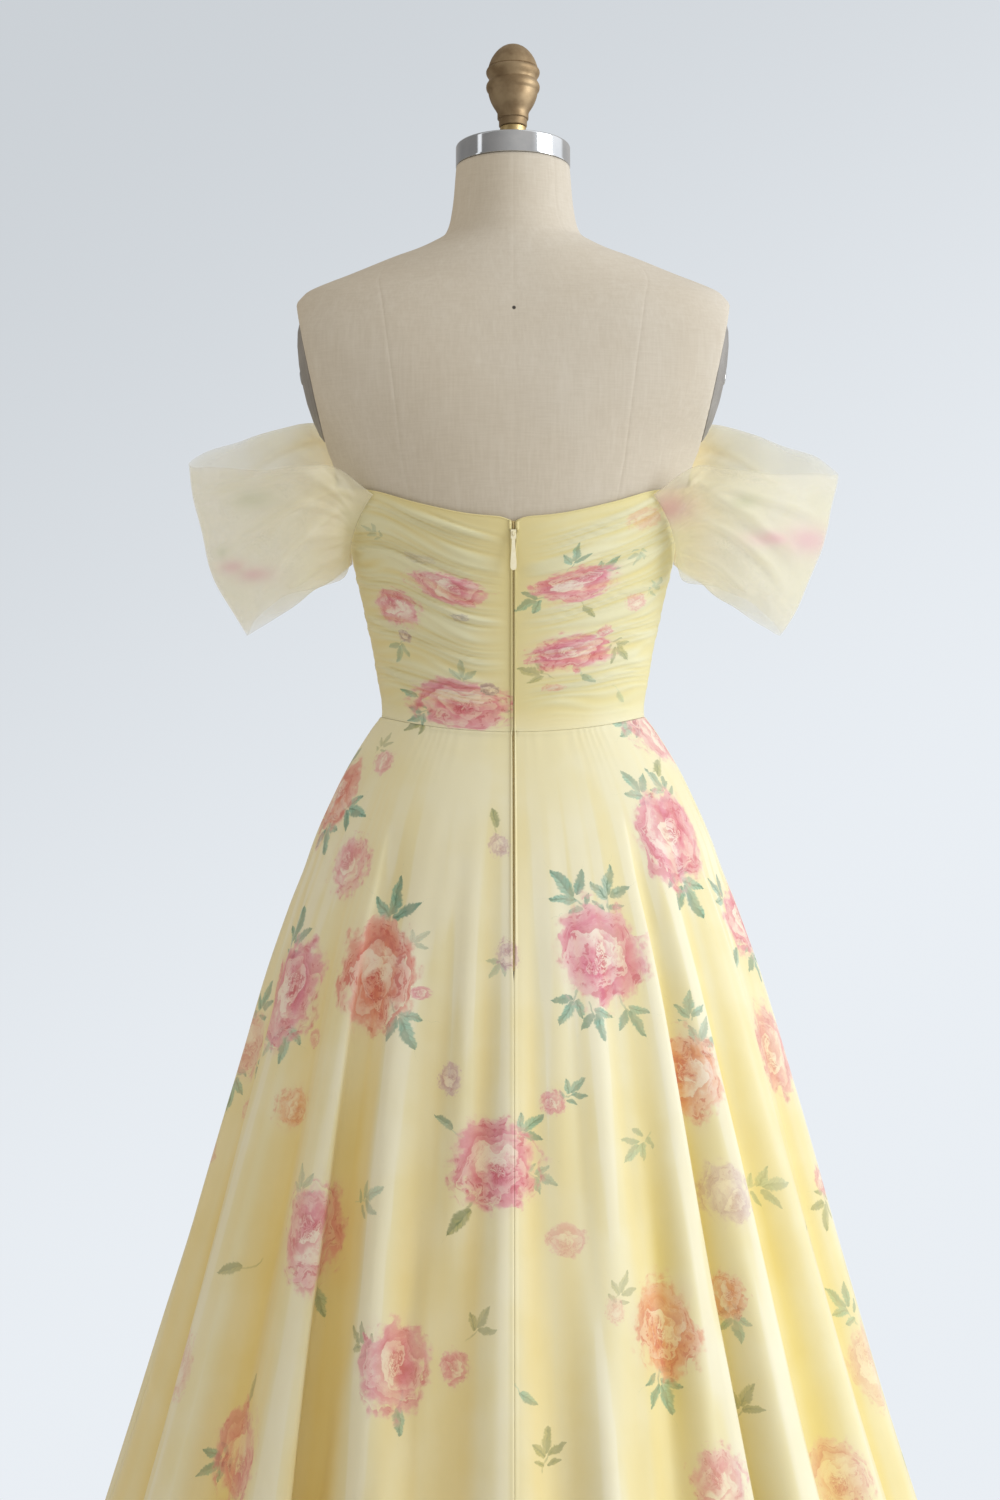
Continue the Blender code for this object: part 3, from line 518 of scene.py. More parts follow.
# Neck cap, stem and finial: a polished steel collar pressed on the neck, a brass stem screwed into
# it, and a turned bronze finial on the stem. All three stand square to the leaning neck.
SEAM = 0.0003
CAP_RADIUS = 0.0520
CAP_HEIGHT = 0.0200
STEM_RADIUS = 0.0118
STEM_HEIGHT = 0.0182
CAP = [
    (0.0450, 0.0), (0.0505, 0.0), (0.0517, 0.0004), (CAP_RADIUS, 0.0012), (CAP_RADIUS, 0.0016),
    (CAP_RADIUS, 0.0100), (CAP_RADIUS, 0.0181), (CAP_RADIUS, 0.0185), (0.0516, 0.0194),
    (0.0508, CAP_HEIGHT), (0.0460, CAP_HEIGHT), (0.0452, 0.0192), (0.0300, 0.0190), (0.0150, 0.0190),
]
STEM = [
    (0.0050, 0.0), (STEM_RADIUS - 0.0006, 0.0), (STEM_RADIUS, 0.0006), (STEM_RADIUS, 0.0040),
    (0.0106, 0.0048), (0.0106, 0.0066), (STEM_RADIUS, 0.0074), (STEM_RADIUS, 0.0176),
    (STEM_RADIUS - 0.0006, STEM_HEIGHT), (0.0050, STEM_HEIGHT),
]
FINIAL = [
    (0.0090, 0.0000), (0.0120, 0.0000), (0.0127, 0.0006), (0.0128, 0.0015), (0.0128, 0.0064),
    (0.0130, 0.0068), (0.0138, 0.0070), (0.0142, 0.0076), (0.0142, 0.0124), (0.0146, 0.0138),
    (0.0157, 0.0159), (0.0172, 0.0182), (0.0186, 0.0206), (0.0197, 0.0228), (0.0207, 0.0252),
    (0.0215, 0.0276), (0.0221, 0.0300), (0.0225, 0.0322), (0.0228, 0.0330), (0.0237, 0.0340),
    (0.0243, 0.0356), (0.0245, 0.0372), (0.0243, 0.0388), (0.0238, 0.0402), (0.0228, 0.0418),
    (0.0219, 0.0428), (0.0217, 0.0436), (0.0218, 0.0448), (0.0224, 0.0462), (0.0234, 0.0478),
    (0.0242, 0.0494), (0.0245, 0.0510), (0.0244, 0.0524), (0.0238, 0.0538), (0.0229, 0.0547),
    (0.0221, 0.0551), (0.0226, 0.0556), (0.0221, 0.0574), (0.0210, 0.0608), (0.0196, 0.0640),
    (0.0179, 0.0669), (0.0159, 0.0696), (0.0135, 0.0722), (0.0107, 0.0745), (0.0075, 0.0763),
    (0.0042, 0.0775), (0.0015, 0.0779),
]
COLLAR_TONES = ((0.74, 0.755, 0.77), (0.83, 0.835, 0.84))
BRASS_TONES = ((0.70, 0.53, 0.26), (0.46, 0.32, 0.14))
BRONZE_TONES = ((0.43, 0.315, 0.185), (0.27, 0.185, 0.10))


def on_neck(foot):
    """A place up the neck's leaning axis, and the lean."""
    place = (0, -foot * math.sin(NECK_LEAN), NECK_TOP + foot * math.cos(NECK_LEAN))
    return place, (NECK_LEAN, 0, 0)


cap = turn_on_lathe("steel_cap", CAP, 128, *on_neck(SEAM))
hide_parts("form_neck_cap")
polish = Finish("Polished collar", (0.80, 0.81, 0.82), 0.10, 1.0)
polish.wear(55.0, 4.0, (0.05, 0.07), (0.35, 0.7), COLLAR_TONES)
lathe = polish.place.stretched((0.1, 0.1, 1)).noise(900.0, 2.0)
polish.link(Normal=lathe.bump(0.02, 0.0002))
dress_in(cap, polish)

stem = turn_on_lathe("brass_stem", STEM, 64, *on_neck(CAP_HEIGHT + 2 * SEAM))
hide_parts("form_finial_stem")
brass = Finish("Brass", (0.66, 0.50, 0.24), 0.3, 1.0)
brass.wear(120.0, 4.0, (0.34, 0.22), (0.3, 0.75), BRASS_TONES)
dress_in(stem, brass)

finial = turn_on_lathe("bronze_finial", FINIAL, 96, *on_neck(CAP_HEIGHT + STEM_HEIGHT + 3 * SEAM))
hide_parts("form_finial")
bronze = Finish("Satin bronze", (0.40, 0.29, 0.16), 0.5, 0.8)
stain = bronze.wear(70.0, 5.0, (0.42, 0.26), (0.3, 0.72), BRONZE_TONES)
lines = bronze.place.stretched((0.12, 0.12, 1)).noise(1400.0, 2.0)
bronze.link(Normal=(lines + 0.4 * stain).bump(0.22, 0.0004))
dress_in(finial, bronze)


# Printed chiffon: two layers of pale yellow polyester chiffon, printed with garden roses, buds and
# sprigs of leaves in soft watercolour. The print is laid on each panel before it is sewn.
CLOTH = 0.0015
YELLOW = (0.88, 0.82, 0.53)
# Painted shade colours: the cloth is tinted deeper gold where its folds are in shade
PAINTED_SHADE_GOLD = (1.0, 0.82, 0.40)
PAINTED_SHADE_LEMON = (1.0, 0.87, 0.40)
GLOW = (0.92, 0.83, 0.48)
PINK = (0.77, 0.20, 0.34)
CORAL = (0.78, 0.22, 0.16)
ORANGE = (0.80, 0.30, 0.13)
FAINT = (0.80, 0.42, 0.38)
LILAC = (0.50, 0.26, 0.42)
PURPLE = (0.28, 0.12, 0.24)
SLATE = (0.30, 0.33, 0.36)
TEAL = (0.14, 0.36, 0.28)
OLIVE = (0.22, 0.29, 0.11)
TEAL_PALE = (0.22, 0.40, 0.31)
CREAM = (0.94, 0.82, 0.75)
BLED_DYE = (0.84, 0.74, 0.60)
HEART_ASIDE = 0.22
PETAL_TURNS = 3.1
LEAF_WIDTH = 0.20
# A sprig's side leaflets: lean in degrees, fork, length, and the least seed that has them
SIDE_LEAFLETS = ((52, 0.55, 1.05, 1.8), (70, 0.95, 0.72, 4.2))
GROUND_TONES = ((0.88, 0.82, 0.53), (0.90, 0.86, 0.62))
ABOVE_WAIST = (0.78, 0.78, 0.53)
PAINTED_RIDGE_HIGHLIGHT = (0.95, 0.93, 0.79)
PRINT_COVERS = 0.94
LIGHT_THROUGH = 0.20


def draw_rose(finish):
    """The colour of a rose and how much dye is there, from its own coordinates on the cloth. Its
    petals are cells rolled round an off-centre heart, with a pale cup beside it."""
    spot = finish.attribute("bloom").stretched((1, 1, 7))
    u, v, seed = spot.axes()
    edge = (u * u + v * v) ** 0.5
    push_u, push_v, waver = spot.noise(1.9, 4.0, out="Color").axes()
    u, v = u + 0.75 * (push_u - 0.5), v + 0.75 * (push_v - 0.5)
    far = (u * u + v * v + 0.0001) ** 0.5
    off = u - HEART_ASIDE
    heart = (off * off + v * v + 0.0001) ** 0.5
    turn = heart * PETAL_TURNS + seed
    rolled = u.vector(off / heart * 0.9, v / heart * 0.9, turn)
    petal = rolled.node("ShaderNodeTexVoronoi", {}, {"Vector": rolled, "Scale": 1.0}, out="Position")
    chance = petal.twin("Color").axes()[0]
    brush = u.vector(off / heart * 2.4, v / heart * 2.4, turn * 3.2).noise(1.9, 4.0)
    wet = spot.noise(5.0, 4.0)
    cup = (u + 0.17) / 0.40
    cup = (cup * cup + v * v * 3.2).ease(1.35, 0.35)
    lit = (turn - petal.axes()[2]) * 0.7 + 0.45 * chance + 1.0 * (wet - 0.5) + 0.9 * (brush - 0.5)
    dye = finish.attribute("bloom_dye", out="Color")
    dark = dye.times((0.82, 0.32, 0.52))
    pale = (0.45 + 0.3 * wet).blend(dye, CREAM)
    colour = lit.ease(-0.55, 0.0).blend(dark, dye)
    colour = lit.ease(-0.15, 0.65).blend(colour, pale)
    colour = (0.5 * far.ease(0.45, 1.0)).blend(colour, pale)
    colour = (cup * (0.35 + 0.7 * lit.ease(-0.2, 0.5))).least(1.0).blend(colour, CREAM)
    accent = brush.ease(0.53, 0.59) * waver.ease(0.42, 0.54) * (1 - 0.7 * cup)
    colour = (0.75 * accent).blend(colour, dark)
    centre = (heart + 0.5 * (wet - 0.5)).ease(0.36, 0.12) * brush.ease(0.44, 0.58)
    colour = (0.9 * centre).blend(colour, dark.times((0.95, 0.6, 0.8)))
    outline = (far + 0.28 * (chance - 0.5) + 0.7 * (wet - 0.5)).ease(1.20, 0.84)
    haze = 0.40 * edge.ease(1.45, 0.9) * push_u.ease(0.40, 0.60)
    colour = outline.blend(BLED_DYE, colour)
    amount = (outline * (0.82 + 0.3 * wet)).least(1.0).most(haze) * edge.ease(1.48, 1.3)
    return colour, amount * finish.attribute("bloom_dye", out="Alpha")


def draw_leaflet(along, across, length):
    """How much dye a leaflet has, and how dark its veins are."""
    share = (along / length).most(0.0).least(1.0)
    width = (share * (1 - share) * 4) ** 0.75 * (1.25 - 0.5 * share) * (LEAF_WIDTH * length)
    teeth = (along * (7.0 / length) - across * (5 / length)).part()
    filled = (across / (width + 0.001) + 0.20 * teeth).ease(1.20, 0.80) * share.ease(0.0, 0.02)
    rib = (along * (5.5 / length) - across * (7 / length)).part()
    vein = across.ease(0.06, 0.01) + 0.7 * rib.ease(0.65, 0.9) * rib.ease(1.0, 0.93)
    return filled, vein


def draw_sprig(finish):
    """The colour of a sprig's fan of leaflets and its stalk, and how much dye is there."""
    spot = finish.attribute("sprig").stretched((1, 1, 9))
    u, v, seed = spot.axes()
    edge = (u * u + v * v) ** 0.5
    push_u, push_v, wet = spot.noise(2.2, 4.0, out="Color").axes()
    u, v = u + 0.38 * (push_u - 0.5), v + 0.38 * (push_v - 0.5)
    above = v.ease(-0.05, 0.05)
    across = v.size()
    leaves, lines = draw_leaflet(u + 0.40, across, 1.30)
    lines = leaves * lines
    for lean, fork, length, least in SIDE_LEAFLETS:
        from_fork = u + fork
        lean_cos, lean_sin = math.cos(math.radians(lean)), math.sin(math.radians(lean))
        along = from_fork * lean_cos + across * lean_sin + 0.24 * (above - 0.6)
        aside = (across * lean_cos - from_fork * lean_sin).size()
        leaflet, veins = draw_leaflet(along, aside, length)
        leaflet = leaflet * seed.ease(least, least + 0.2)
        lines = (lines * (1 - leaflet)).most(leaflet * veins)
        leaves = leaves.most(leaflet)
    bend = (v + 0.16 * (u * 2.5 + seed).sin()).size()
    stalk = bend.ease(0.06, 0.02) * u.ease(-1.35, -1.15) * u.ease(-0.2, -0.35)
    dye = finish.attribute("sprig_dye", out="Color")
    dark = dye.times((0.55, 0.68, 0.68))
    colour = (wet + 0.16 * above).ease(0.40, 0.70).blend(dark, dye.times((1.9, 1.5, 1.6)))
    colour = lines.least(1.0).blend(colour, dark)
    amount = (leaves * (0.24 + 1.2 * wet)).least(1.0).most(0.55 * stalk) * edge.ease(1.42, 1.25)
    return colour, amount * finish.attribute("sprig_dye", out="Alpha")


def soft_fabric(finish, through, through_colour, cover=None):
    """Let light through a cloth: part of it leaves on the other side, and a sheer cloth covers
    only some of what is behind it."""
    tree = finish.tree
    glow = tree.nodes.new("ShaderNodeBsdfTranslucent")
    glow.inputs["Color"].default_value = (*through_colour, 1)
    cloth = tree.nodes.new("ShaderNodeMixShader")
    cloth.inputs["Fac"].default_value = through
    tree.links.new(finish.shader.outputs[0], cloth.inputs[1])
    tree.links.new(glow.outputs[0], cloth.inputs[2])
    if cover:
        clear = tree.nodes.new("ShaderNodeBsdfTransparent")
        sheer = tree.nodes.new("ShaderNodeMixShader")
        tree.links.new(cover.end, sheer.inputs["Fac"])
        tree.links.new(clear.outputs[0], sheer.inputs[1])
        tree.links.new(cloth.outputs[0], sheer.inputs[2])
        cloth = sheer
    tree.links.new(cloth.outputs[0], tree.nodes["Material Output"].inputs["Surface"])


chiffon = Finish("Printed chiffon", YELLOW, 0.72, Sheen_Weight=0.25, Sheen_Roughness=0.5)
cloudy = chiffon.place.noise(14.0, 3.0)
ground = cloudy.ease(0.35, 0.65).blend(*GROUND_TONES)
above_waist = chiffon.place.axes()[2].ease(1.050, 1.075)
ground = (0.55 * above_waist).blend(ground, ABOVE_WAIST)
# Painted shade: the cloth's colour turns deeper gold in its fold troughs, ripples and thin bands,
# where shade falls
painted_shade = chiffon.attribute("painted_shade", out="Fac")
# Painted highlight: pale lines along the skirt's fold ridges, where no shade is painted
ridge_highlight = chiffon.place.axes()[2].ease(1.04, 0.90) * painted_shade.ease(0.07, 0.0)
ground = (0.45 * ridge_highlight).blend(ground, PAINTED_RIDGE_HIGHLIGHT)
leaf_colour, leaf_amount = draw_sprig(chiffon)
rose_colour, rose_amount = draw_rose(chiffon)
printed = (PRINT_COVERS * leaf_amount).blend(ground, leaf_colour)
printed = (PRINT_COVERS * rose_amount).blend(printed, rose_colour)
# The painted shade is more lemon on the lit side (-X) and more orange on the far side (+X)
shade_tint = chiffon.place.axes()[0].ease(-0.16, 0.06).blend(PAINTED_SHADE_LEMON, PAINTED_SHADE_GOLD)
shade_multiplier = (0.9 * painted_shade).blend((1.0, 1.0, 1.0), shade_tint)
crepe = chiffon.place.noise(1500.0, 1.0)
crumple = chiffon.place.stretched((1, 1, 0.35)).noise(38.0, 2.0)
chiffon.link(
    Base_Color=printed.times(shade_multiplier),
    Roughness=0.64 + 0.16 * crepe,
    Normal=crepe.bump(0.10, 0.0002, under=crumple.bump(0.16, 0.0025)),
)
soft_fabric(chiffon, LIGHT_THROUGH, GLOW)

# Roses and buds seen in the photo's view: x, z, half width, half height, dye, strength
BLOOMS = [
    (0.058, 1.174, 0.032, 0.018, PINK, 0.95),
    (0.105, 1.158, 0.025, 0.021, PINK, 0.90),
    (0.046, 1.073, 0.042, 0.027, PINK, 1.00),
    (-0.056, 1.176, 0.036, 0.019, PINK, 1.00),
    (-0.052, 1.118, 0.038, 0.022, PINK, 1.00),
    (-0.037, 1.085, 0.009, 0.006, CORAL, 0.6),
    (-0.109, 1.162, 0.011, 0.009, PINK, 0.6),
    (0.022, 1.083, 0.009, 0.009, PURPLE, 0.8),
    (0.048, 1.147, 0.008, 0.006, SLATE, 0.6),
    (0.083, 1.199, 0.016, 0.007, SLATE, 0.35),
    (-0.118, 1.238, 0.018, 0.012, CORAL, 0.40),
    (0.096, 1.132, 0.006, 0.008, PURPLE, 0.7),
    (-0.082, 1.135, 0.008, 0.007, PINK, 0.8),
    (0.115, 1.019, 0.010, 0.012, PINK, 0.7),
    (0.144, 0.929, 0.018, 0.026, PINK, 0.8),
    (0.116, 0.833, 0.034, 0.045, CORAL, 1.0),
    (0.200, 0.820, 0.030, 0.042, PINK, 0.95),
    (0.080, 0.824, 0.009, 0.006, PINK, 0.8),
    (0.012, 0.947, 0.007, 0.010, LILAC, 0.6),
    (0.005, 0.854, 0.008, 0.012, LILAC, 0.7),
    (-0.077, 0.858, 0.036, 0.042, PINK, 1.0),
    (-0.137, 0.955, 0.028, 0.040, PINK, 0.95),
    (-0.152, 0.745, 0.024, 0.036, ORANGE, 0.9),
    (0.015, 0.682, 0.034, 0.034, PINK, 1.0),
    (0.054, 0.752, 0.010, 0.012, LILAC, 0.7),
    (-0.033, 0.734, 0.010, 0.010, PINK, 0.8),
    (0.190, 0.717, 0.016, 0.018, ORANGE, 0.7),
    (0.171, 0.617, 0.026, 0.041, PINK, 0.9),
    (-0.044, 0.621, 0.015, 0.013, PINK, 0.5),
    (0.103, 0.521, 0.026, 0.034, PINK, 0.9),
    (0.049, 0.521, 0.012, 0.014, PINK, 0.8),
    (0.231, 0.431, 0.026, 0.038, PINK, 0.85),
    (0.290, 0.491, 0.016, 0.026, FAINT, 0.5),
    (-0.126, 0.545, 0.024, 0.036, ORANGE, 0.9),
    (-0.180, 0.570, 0.016, 0.020, ORANGE, 0.8),
    (-0.170, 0.425, 0.022, 0.030, PINK, 0.7),
    (-0.279, 0.403, 0.028, 0.030, FAINT, 0.7),
    (-0.320, 0.479, 0.022, 0.032, FAINT, 0.5),
    (-0.232, 0.761, 0.022, 0.038, PINK, 0.7),
    (-0.185, 0.653, 0.014, 0.026, LILAC, 0.5),
    (-0.084, 0.565, 0.008, 0.010, FAINT, 0.5),
    (0.172, 0.778, 0.006, 0.008, PINK, 0.6),
    (0.239, 0.711, 0.006, 0.008, PINK, 0.5),
    (0.174, 0.949, 0.007, 0.009, FAINT, 0.5),
]
# Sprigs seen in the photo's view: x, z, half length, strength
SPRIGS = [
    (0.128, 1.225, 0.012, 0.4), (0.045, 1.100, 0.014, 0.6), (0.014, 1.066, 0.013, 0.8),
    (0.091, 1.080, 0.015, 0.9), (0.085, 1.058, 0.014, 0.9), (0.101, 1.119, 0.013, 0.6),
    (-0.055, 1.201, 0.015, 0.8), (-0.084, 1.193, 0.015, 0.8), (-0.015, 1.159, 0.016, 0.8),
    (-0.066, 1.155, 0.014, 0.7), (-0.095, 1.119, 0.015, 0.7), (-0.016, 1.098, 0.016, 0.7),
    (-0.065, 1.095, 0.014, 0.7), (-0.130, 1.179, 0.013, 0.4), (-0.111, 1.201, 0.012, 0.4),
    (-0.094, 1.080, 0.012, 0.4), (0.114, 1.039, 0.010, 0.5), (0.103, 0.897, 0.026, 1.0),
    (0.093, 0.793, 0.022, 0.9), (0.192, 0.872, 0.024, 0.9), (0.201, 0.776, 0.022, 0.8),
    (0.014, 0.966, 0.015, 0.8), (0.014, 0.843, 0.012, 0.5), (-0.046, 0.913, 0.022, 0.9),
    (-0.082, 0.910, 0.020, 0.9), (-0.048, 0.812, 0.018, 0.9), (-0.074, 0.798, 0.018, 0.9),
    (-0.104, 0.800, 0.018, 0.8), (-0.108, 0.997, 0.018, 0.8), (-0.128, 1.002, 0.017, 0.8),
    (-0.156, 0.900, 0.024, 0.9), (-0.164, 0.782, 0.018, 0.7), (0.054, 0.712, 0.016, 0.9),
    (-0.013, 0.712, 0.017, 0.9), (0.040, 0.638, 0.022, 0.9), (-0.026, 0.668, 0.014, 0.6),
    (-0.052, 0.746, 0.013, 0.8), (0.164, 0.565, 0.020, 0.8), (0.244, 0.583, 0.020, 0.7),
    (0.122, 0.657, 0.018, 0.5), (0.130, 0.540, 0.016, 0.7), (0.094, 0.480, 0.017, 0.8),
    (0.030, 0.556, 0.016, 0.6), (-0.125, 0.492, 0.020, 0.8), (-0.190, 0.540, 0.016, 0.6),
    (-0.196, 0.480, 0.018, 0.6), (-0.250, 0.603, 0.022, 0.6), (-0.290, 0.541, 0.020, 0.6),
    (-0.009, 0.501, 0.014, 0.7), (-0.025, 0.458, 0.016, 0.7), (-0.102, 0.691, 0.016, 0.5),
    (-0.092, 0.581, 0.014, 0.5), (-0.223, 0.655, 0.020, 0.5), (0.255, 0.420, 0.018, 0.8),
    (0.223, 0.484, 0.018, 0.6), (0.182, 0.664, 0.016, 0.5), (0.216, 0.770, 0.014, 0.5),
    (-0.290, 0.440, 0.018, 0.5), (0.081, 0.868, 0.012, 0.5), (-0.152, 0.805, 0.016, 0.7),
]
BLOOM_REACH = 1.5
SPRIG_REACH = 1.45
BLOOM_GROWS = 1.1
SPRIG_GROWS = 1.1
OVAL_LIMIT = 0.8
OFF_THE_CLOTH = 5.0
NEARER_LAYER = 0.02
BLOOM_MISS = 0.012
SPRIG_MISS = 0.008
BESIDE_BLOOM = 0.05
FULL_TURN = 6.28
QUARTER_TURN = 1.57
SEED_STEP = 0.618
# A sprig's distance from its rose and its bud, in half sizes, and the square of what it may miss
FROM_ROSE = 1.32
FROM_BUD = 2.2
SQUARE_MISS = 0.0001
# Of the flowers that the photo doesn't show: half sizes of roses, buds and sprigs, and strength
ROSE_SIZE = (0.028, 0.037)
BUD_SIZE = (0.009, 0.015)
SPRIG_SIZE = (0.016, 0.023)
DYE_STRENGTH = (0.65, 1.0)


def at_corners(grid):
    """A grid's values at the four corners of each of its faces."""
    rows, columns = grid.shape[0] - 1, grid.shape[1] - 1
    faces = [grid[r:rows + r, c:columns + c] for r, c in ((0, 0), (0, 1), (1, 1), (1, 0))]
    return np.stack(faces, axis=2)


def write(values, data, socket):
    """Write an array of numbers to a mesh's own data."""
    data.foreach_set(socket, values.reshape(-1).astype(np.float32))


def weigh(piece, name, values):
    """Write a number at each point of a piece, for its material to read."""
    write(values, piece.data.attributes.new(name, "FLOAT", "POINT").data, "value")


class Cloth:
    """A panel of cloth before its wall is made: its points, with the shade painted at each in its
    folds, and how far each is along the weave."""

    def __init__(self, points):
        self.points = points[..., :3]
        self.painted_shade = points[..., 3]
        across = np.linalg.norm(np.diff(self.points, axis=1), axis=2)
        along = np.linalg.norm(np.diff(self.points, axis=0), axis=2)
        self.across = np.pad(np.cumsum(across, axis=1), ((0, 0), (1, 0)))
        self.along = np.pad(np.cumsum(along, axis=0), ((1, 0), (0, 0)))
        self.blooms = []
        self.sprigs = []

    def nearest(self, x, z):
        """The row and column of the point seen at a place from behind, and its distance."""
        rear = self.points[..., 1]
        far = (self.points[..., 0] - x) ** 2 + (self.points[..., 2] - z) ** 2
        far = far + np.where(rear > 0, 0, 1) - NEARER_LAYER * rear * far
        row, column = np.unravel_index(np.argmin(far), far.shape)
        return row, column, math.sqrt(max(far[row, column], 0))

    def local(self, row, column):
        """Every point's distance from one point, across and along the weave."""
        return self.across - self.across[:, column][:, None], self.along - self.along[row][None, :]

    def add_bloom(self, row, column, half, dye, strength, seed, shift=0):
        right, up = self.local(row, column)
        turn = seed * FULL_TURN
        u, v = (right + shift) / half[0], up / half[1]
        turned = u * math.cos(turn) - v * math.sin(turn), u * math.sin(turn) + v * math.cos(turn)
        self.blooms.append((*turned, seed, (*dye, strength)))

    def add_sprig(self, row, column, half, turn, dye, strength, seed):
        right, up = self.local(row, column)
        u = (right * math.cos(turn) + up * math.sin(turn)) / half
        v = (up * math.cos(turn) - right * math.sin(turn)) / half
        self.sprigs.append((u, v, seed, (*dye, strength)))

    def print_on(self, mesh):
        """Write the print's coordinates and dyes at the corners of the panel's faces."""
        shape = at_corners(self.across).shape
        for name, motifs, limit in (
            ("bloom", self.blooms, BLOOM_REACH),
            ("sprig", self.sprigs, SPRIG_REACH),
        ):
            nearest = np.full(shape[:2], limit)
            place = np.full((*shape, 3), OFF_THE_CLOTH)
            dye = np.zeros((*shape, 4))
            for u, v, seed, colour in motifs:
                local = np.stack([at_corners(u), at_corners(v), np.full(shape, seed)], axis=-1)
                far = np.hypot(local[..., 0].mean(axis=-1), local[..., 1].mean(axis=-1))
                mine = far < nearest
                nearest[mine] = far[mine]
                place[mine] = local[mine]
                dye[mine] = colour
            write(place, mesh.attributes.new(name, "FLOAT_VECTOR", "CORNER").data, "vector")
            shade = mesh.color_attributes.new(name + "_dye", "FLOAT_COLOR", "CORNER")
            write(dye, shade.data, "color")
        weave = np.stack([self.across, self.along], axis=-1)
        write(at_corners(weave), mesh.uv_layers.active.data, "uv")


def scatter(cloth, rng, spots):
    """Roses with their leaves, and buds between them, where the photo doesn't show the cloth."""
    for row, column, kind in spots:
        dye = rng.choice((PINK, PINK, PINK, CORAL, ORANGE, FAINT))
        strength = rng.uniform(*DYE_STRENGTH)
        if kind == "rose":
            half = rng.uniform(*ROSE_SIZE)
            cloth.add_bloom(row, column, (half, half), dye, strength, rng.random())
            first = rng.uniform(0, FULL_TURN)
            for i in range(rng.choice((3, 4, 4))):
                turn = first + i * QUARTER_TURN + rng.uniform(-0.4, 0.4)
                add_beside(cloth, rng, row, column, half * FROM_ROSE, turn, strength)
        else:
            half = rng.uniform(*BUD_SIZE)
            cloth.add_bloom(row, column, (half, half), dye, strength * 0.9, rng.random())
            turn = rng.uniform(0, FULL_TURN)
            add_beside(cloth, rng, row, column, half * FROM_BUD, turn, strength * 0.8)


def add_beside(cloth, rng, row, column, away, turn, strength):
    """A sprig that points away from a bloom."""
    right, up = cloth.local(row, column)
    miss = (right - away * math.cos(turn)) ** 2 + (up - away * math.sin(turn)) ** 2
    at = np.unravel_index(np.argmin(miss), miss.shape)
    if miss[at] < SQUARE_MISS:
        dye = rng.choice((TEAL, TEAL, OLIVE, TEAL_PALE))
        cloth.add_sprig(*at, rng.uniform(*SPRIG_SIZE), turn, dye, strength, rng.random())


def print_seen(cloth, rng):
    """Lay on a panel the roses and sprigs that the photo's view shows."""
    for index, (x, z, half_width, half_height, dye, strength) in enumerate(BLOOMS):
        row, column = cloth.nearest(x, z)[:2]
        shift, lift = (x, z) - cloth.points[row, column, ::2]
        if abs(shift) < max(BLOOM_MISS, half_width) and abs(lift) < BLOOM_MISS:
            half_width = max(half_width, OVAL_LIMIT * half_height)
            half = half_width * BLOOM_GROWS, half_height * BLOOM_GROWS
            cloth.add_bloom(row, column, half, dye, strength, SEED_STEP * index % 1, shift)
    for x, z, half, strength in SPRIGS:
        row, column, miss = cloth.nearest(x, z)
        seed, dye = rng.random(), rng.choice((TEAL, TEAL, TEAL, TEAL_PALE, OLIVE))
        if miss < SPRIG_MISS:
            near = min(BLOOMS, key=lambda b: math.hypot(b[0] - x, b[1] - z) - b[3])
            beside = math.hypot(near[0] - x, near[1] - z) < near[3] + BESIDE_BLOOM
            away = math.atan2(z - near[1], near[0] - x) if beside else rng.uniform(0, FULL_TURN)
            turn = away + rng.uniform(-0.3, 0.3)
            cloth.add_sprig(row, column, half * SPRIG_GROWS, turn, dye, strength, seed)


def thicken(piece, thickness, offset=-1):
    """Give a sheet its wall: inwards from the face that shows, or to both sides."""
    wall = piece.modifiers.new("Wall", "SOLIDIFY")
    wall.thickness = thickness
    wall.offset = offset
    wall.use_quality_normals = offset < 0
    bpy.context.view_layer.objects.active = piece
    bpy.ops.object.modifier_apply(modifier=wall.name)


# Skirt: half a circle of chiffon in three panels, seamed at the sides and below the zip. It hangs
# from the waist in deep soft folds to the floor, with smaller ripples between them.
EASE = 0.0020
WAIST_EASE = 0.0006
WAIST_HEIGHT = 1.060
WAIST_DIP = 0.014
HEM_HEIGHT = 0.012
ZIP_TOP = 1.2310
ZIP_END = 0.840
ZIP_CLOSING = 0.0045
ZIP_GROOVE = (0.0016, 0.0030)
ZIP_NARROWS = (1.02, 1.10)
STITCHED = 0.00005
ZIP_SPREAD = 0.0022
ZIP_SPREAD_FOOT = 1.196
FOLD_GROWTH = 0.8
# Outline over the ridges: drop below the waist seam, half width, depth of the back and the front
SKIRT = np.array([
    (0.000, 0.1198, 0.0766, 0.0986),
    (0.012, 0.1290, 0.0820, 0.1015),
    (0.044, 0.1490, 0.0970, 0.1120),
    (0.075, 0.1645, 0.1120, 0.1230),
    (0.107, 0.1786, 0.1270, 0.1350),
    (0.139, 0.1900, 0.1400, 0.1465),
    (0.171, 0.2027, 0.1530, 0.1580),
    (0.235, 0.2250, 0.1760, 0.1800),
    (0.330, 0.2530, 0.2070, 0.2100),
    (0.394, 0.2720, 0.2270, 0.2300),
    (0.521, 0.3095, 0.2670, 0.2700),
    (0.648, 0.3477, 0.3050, 0.3080),
    (1.048, 0.4780, 0.4250, 0.4300),
])
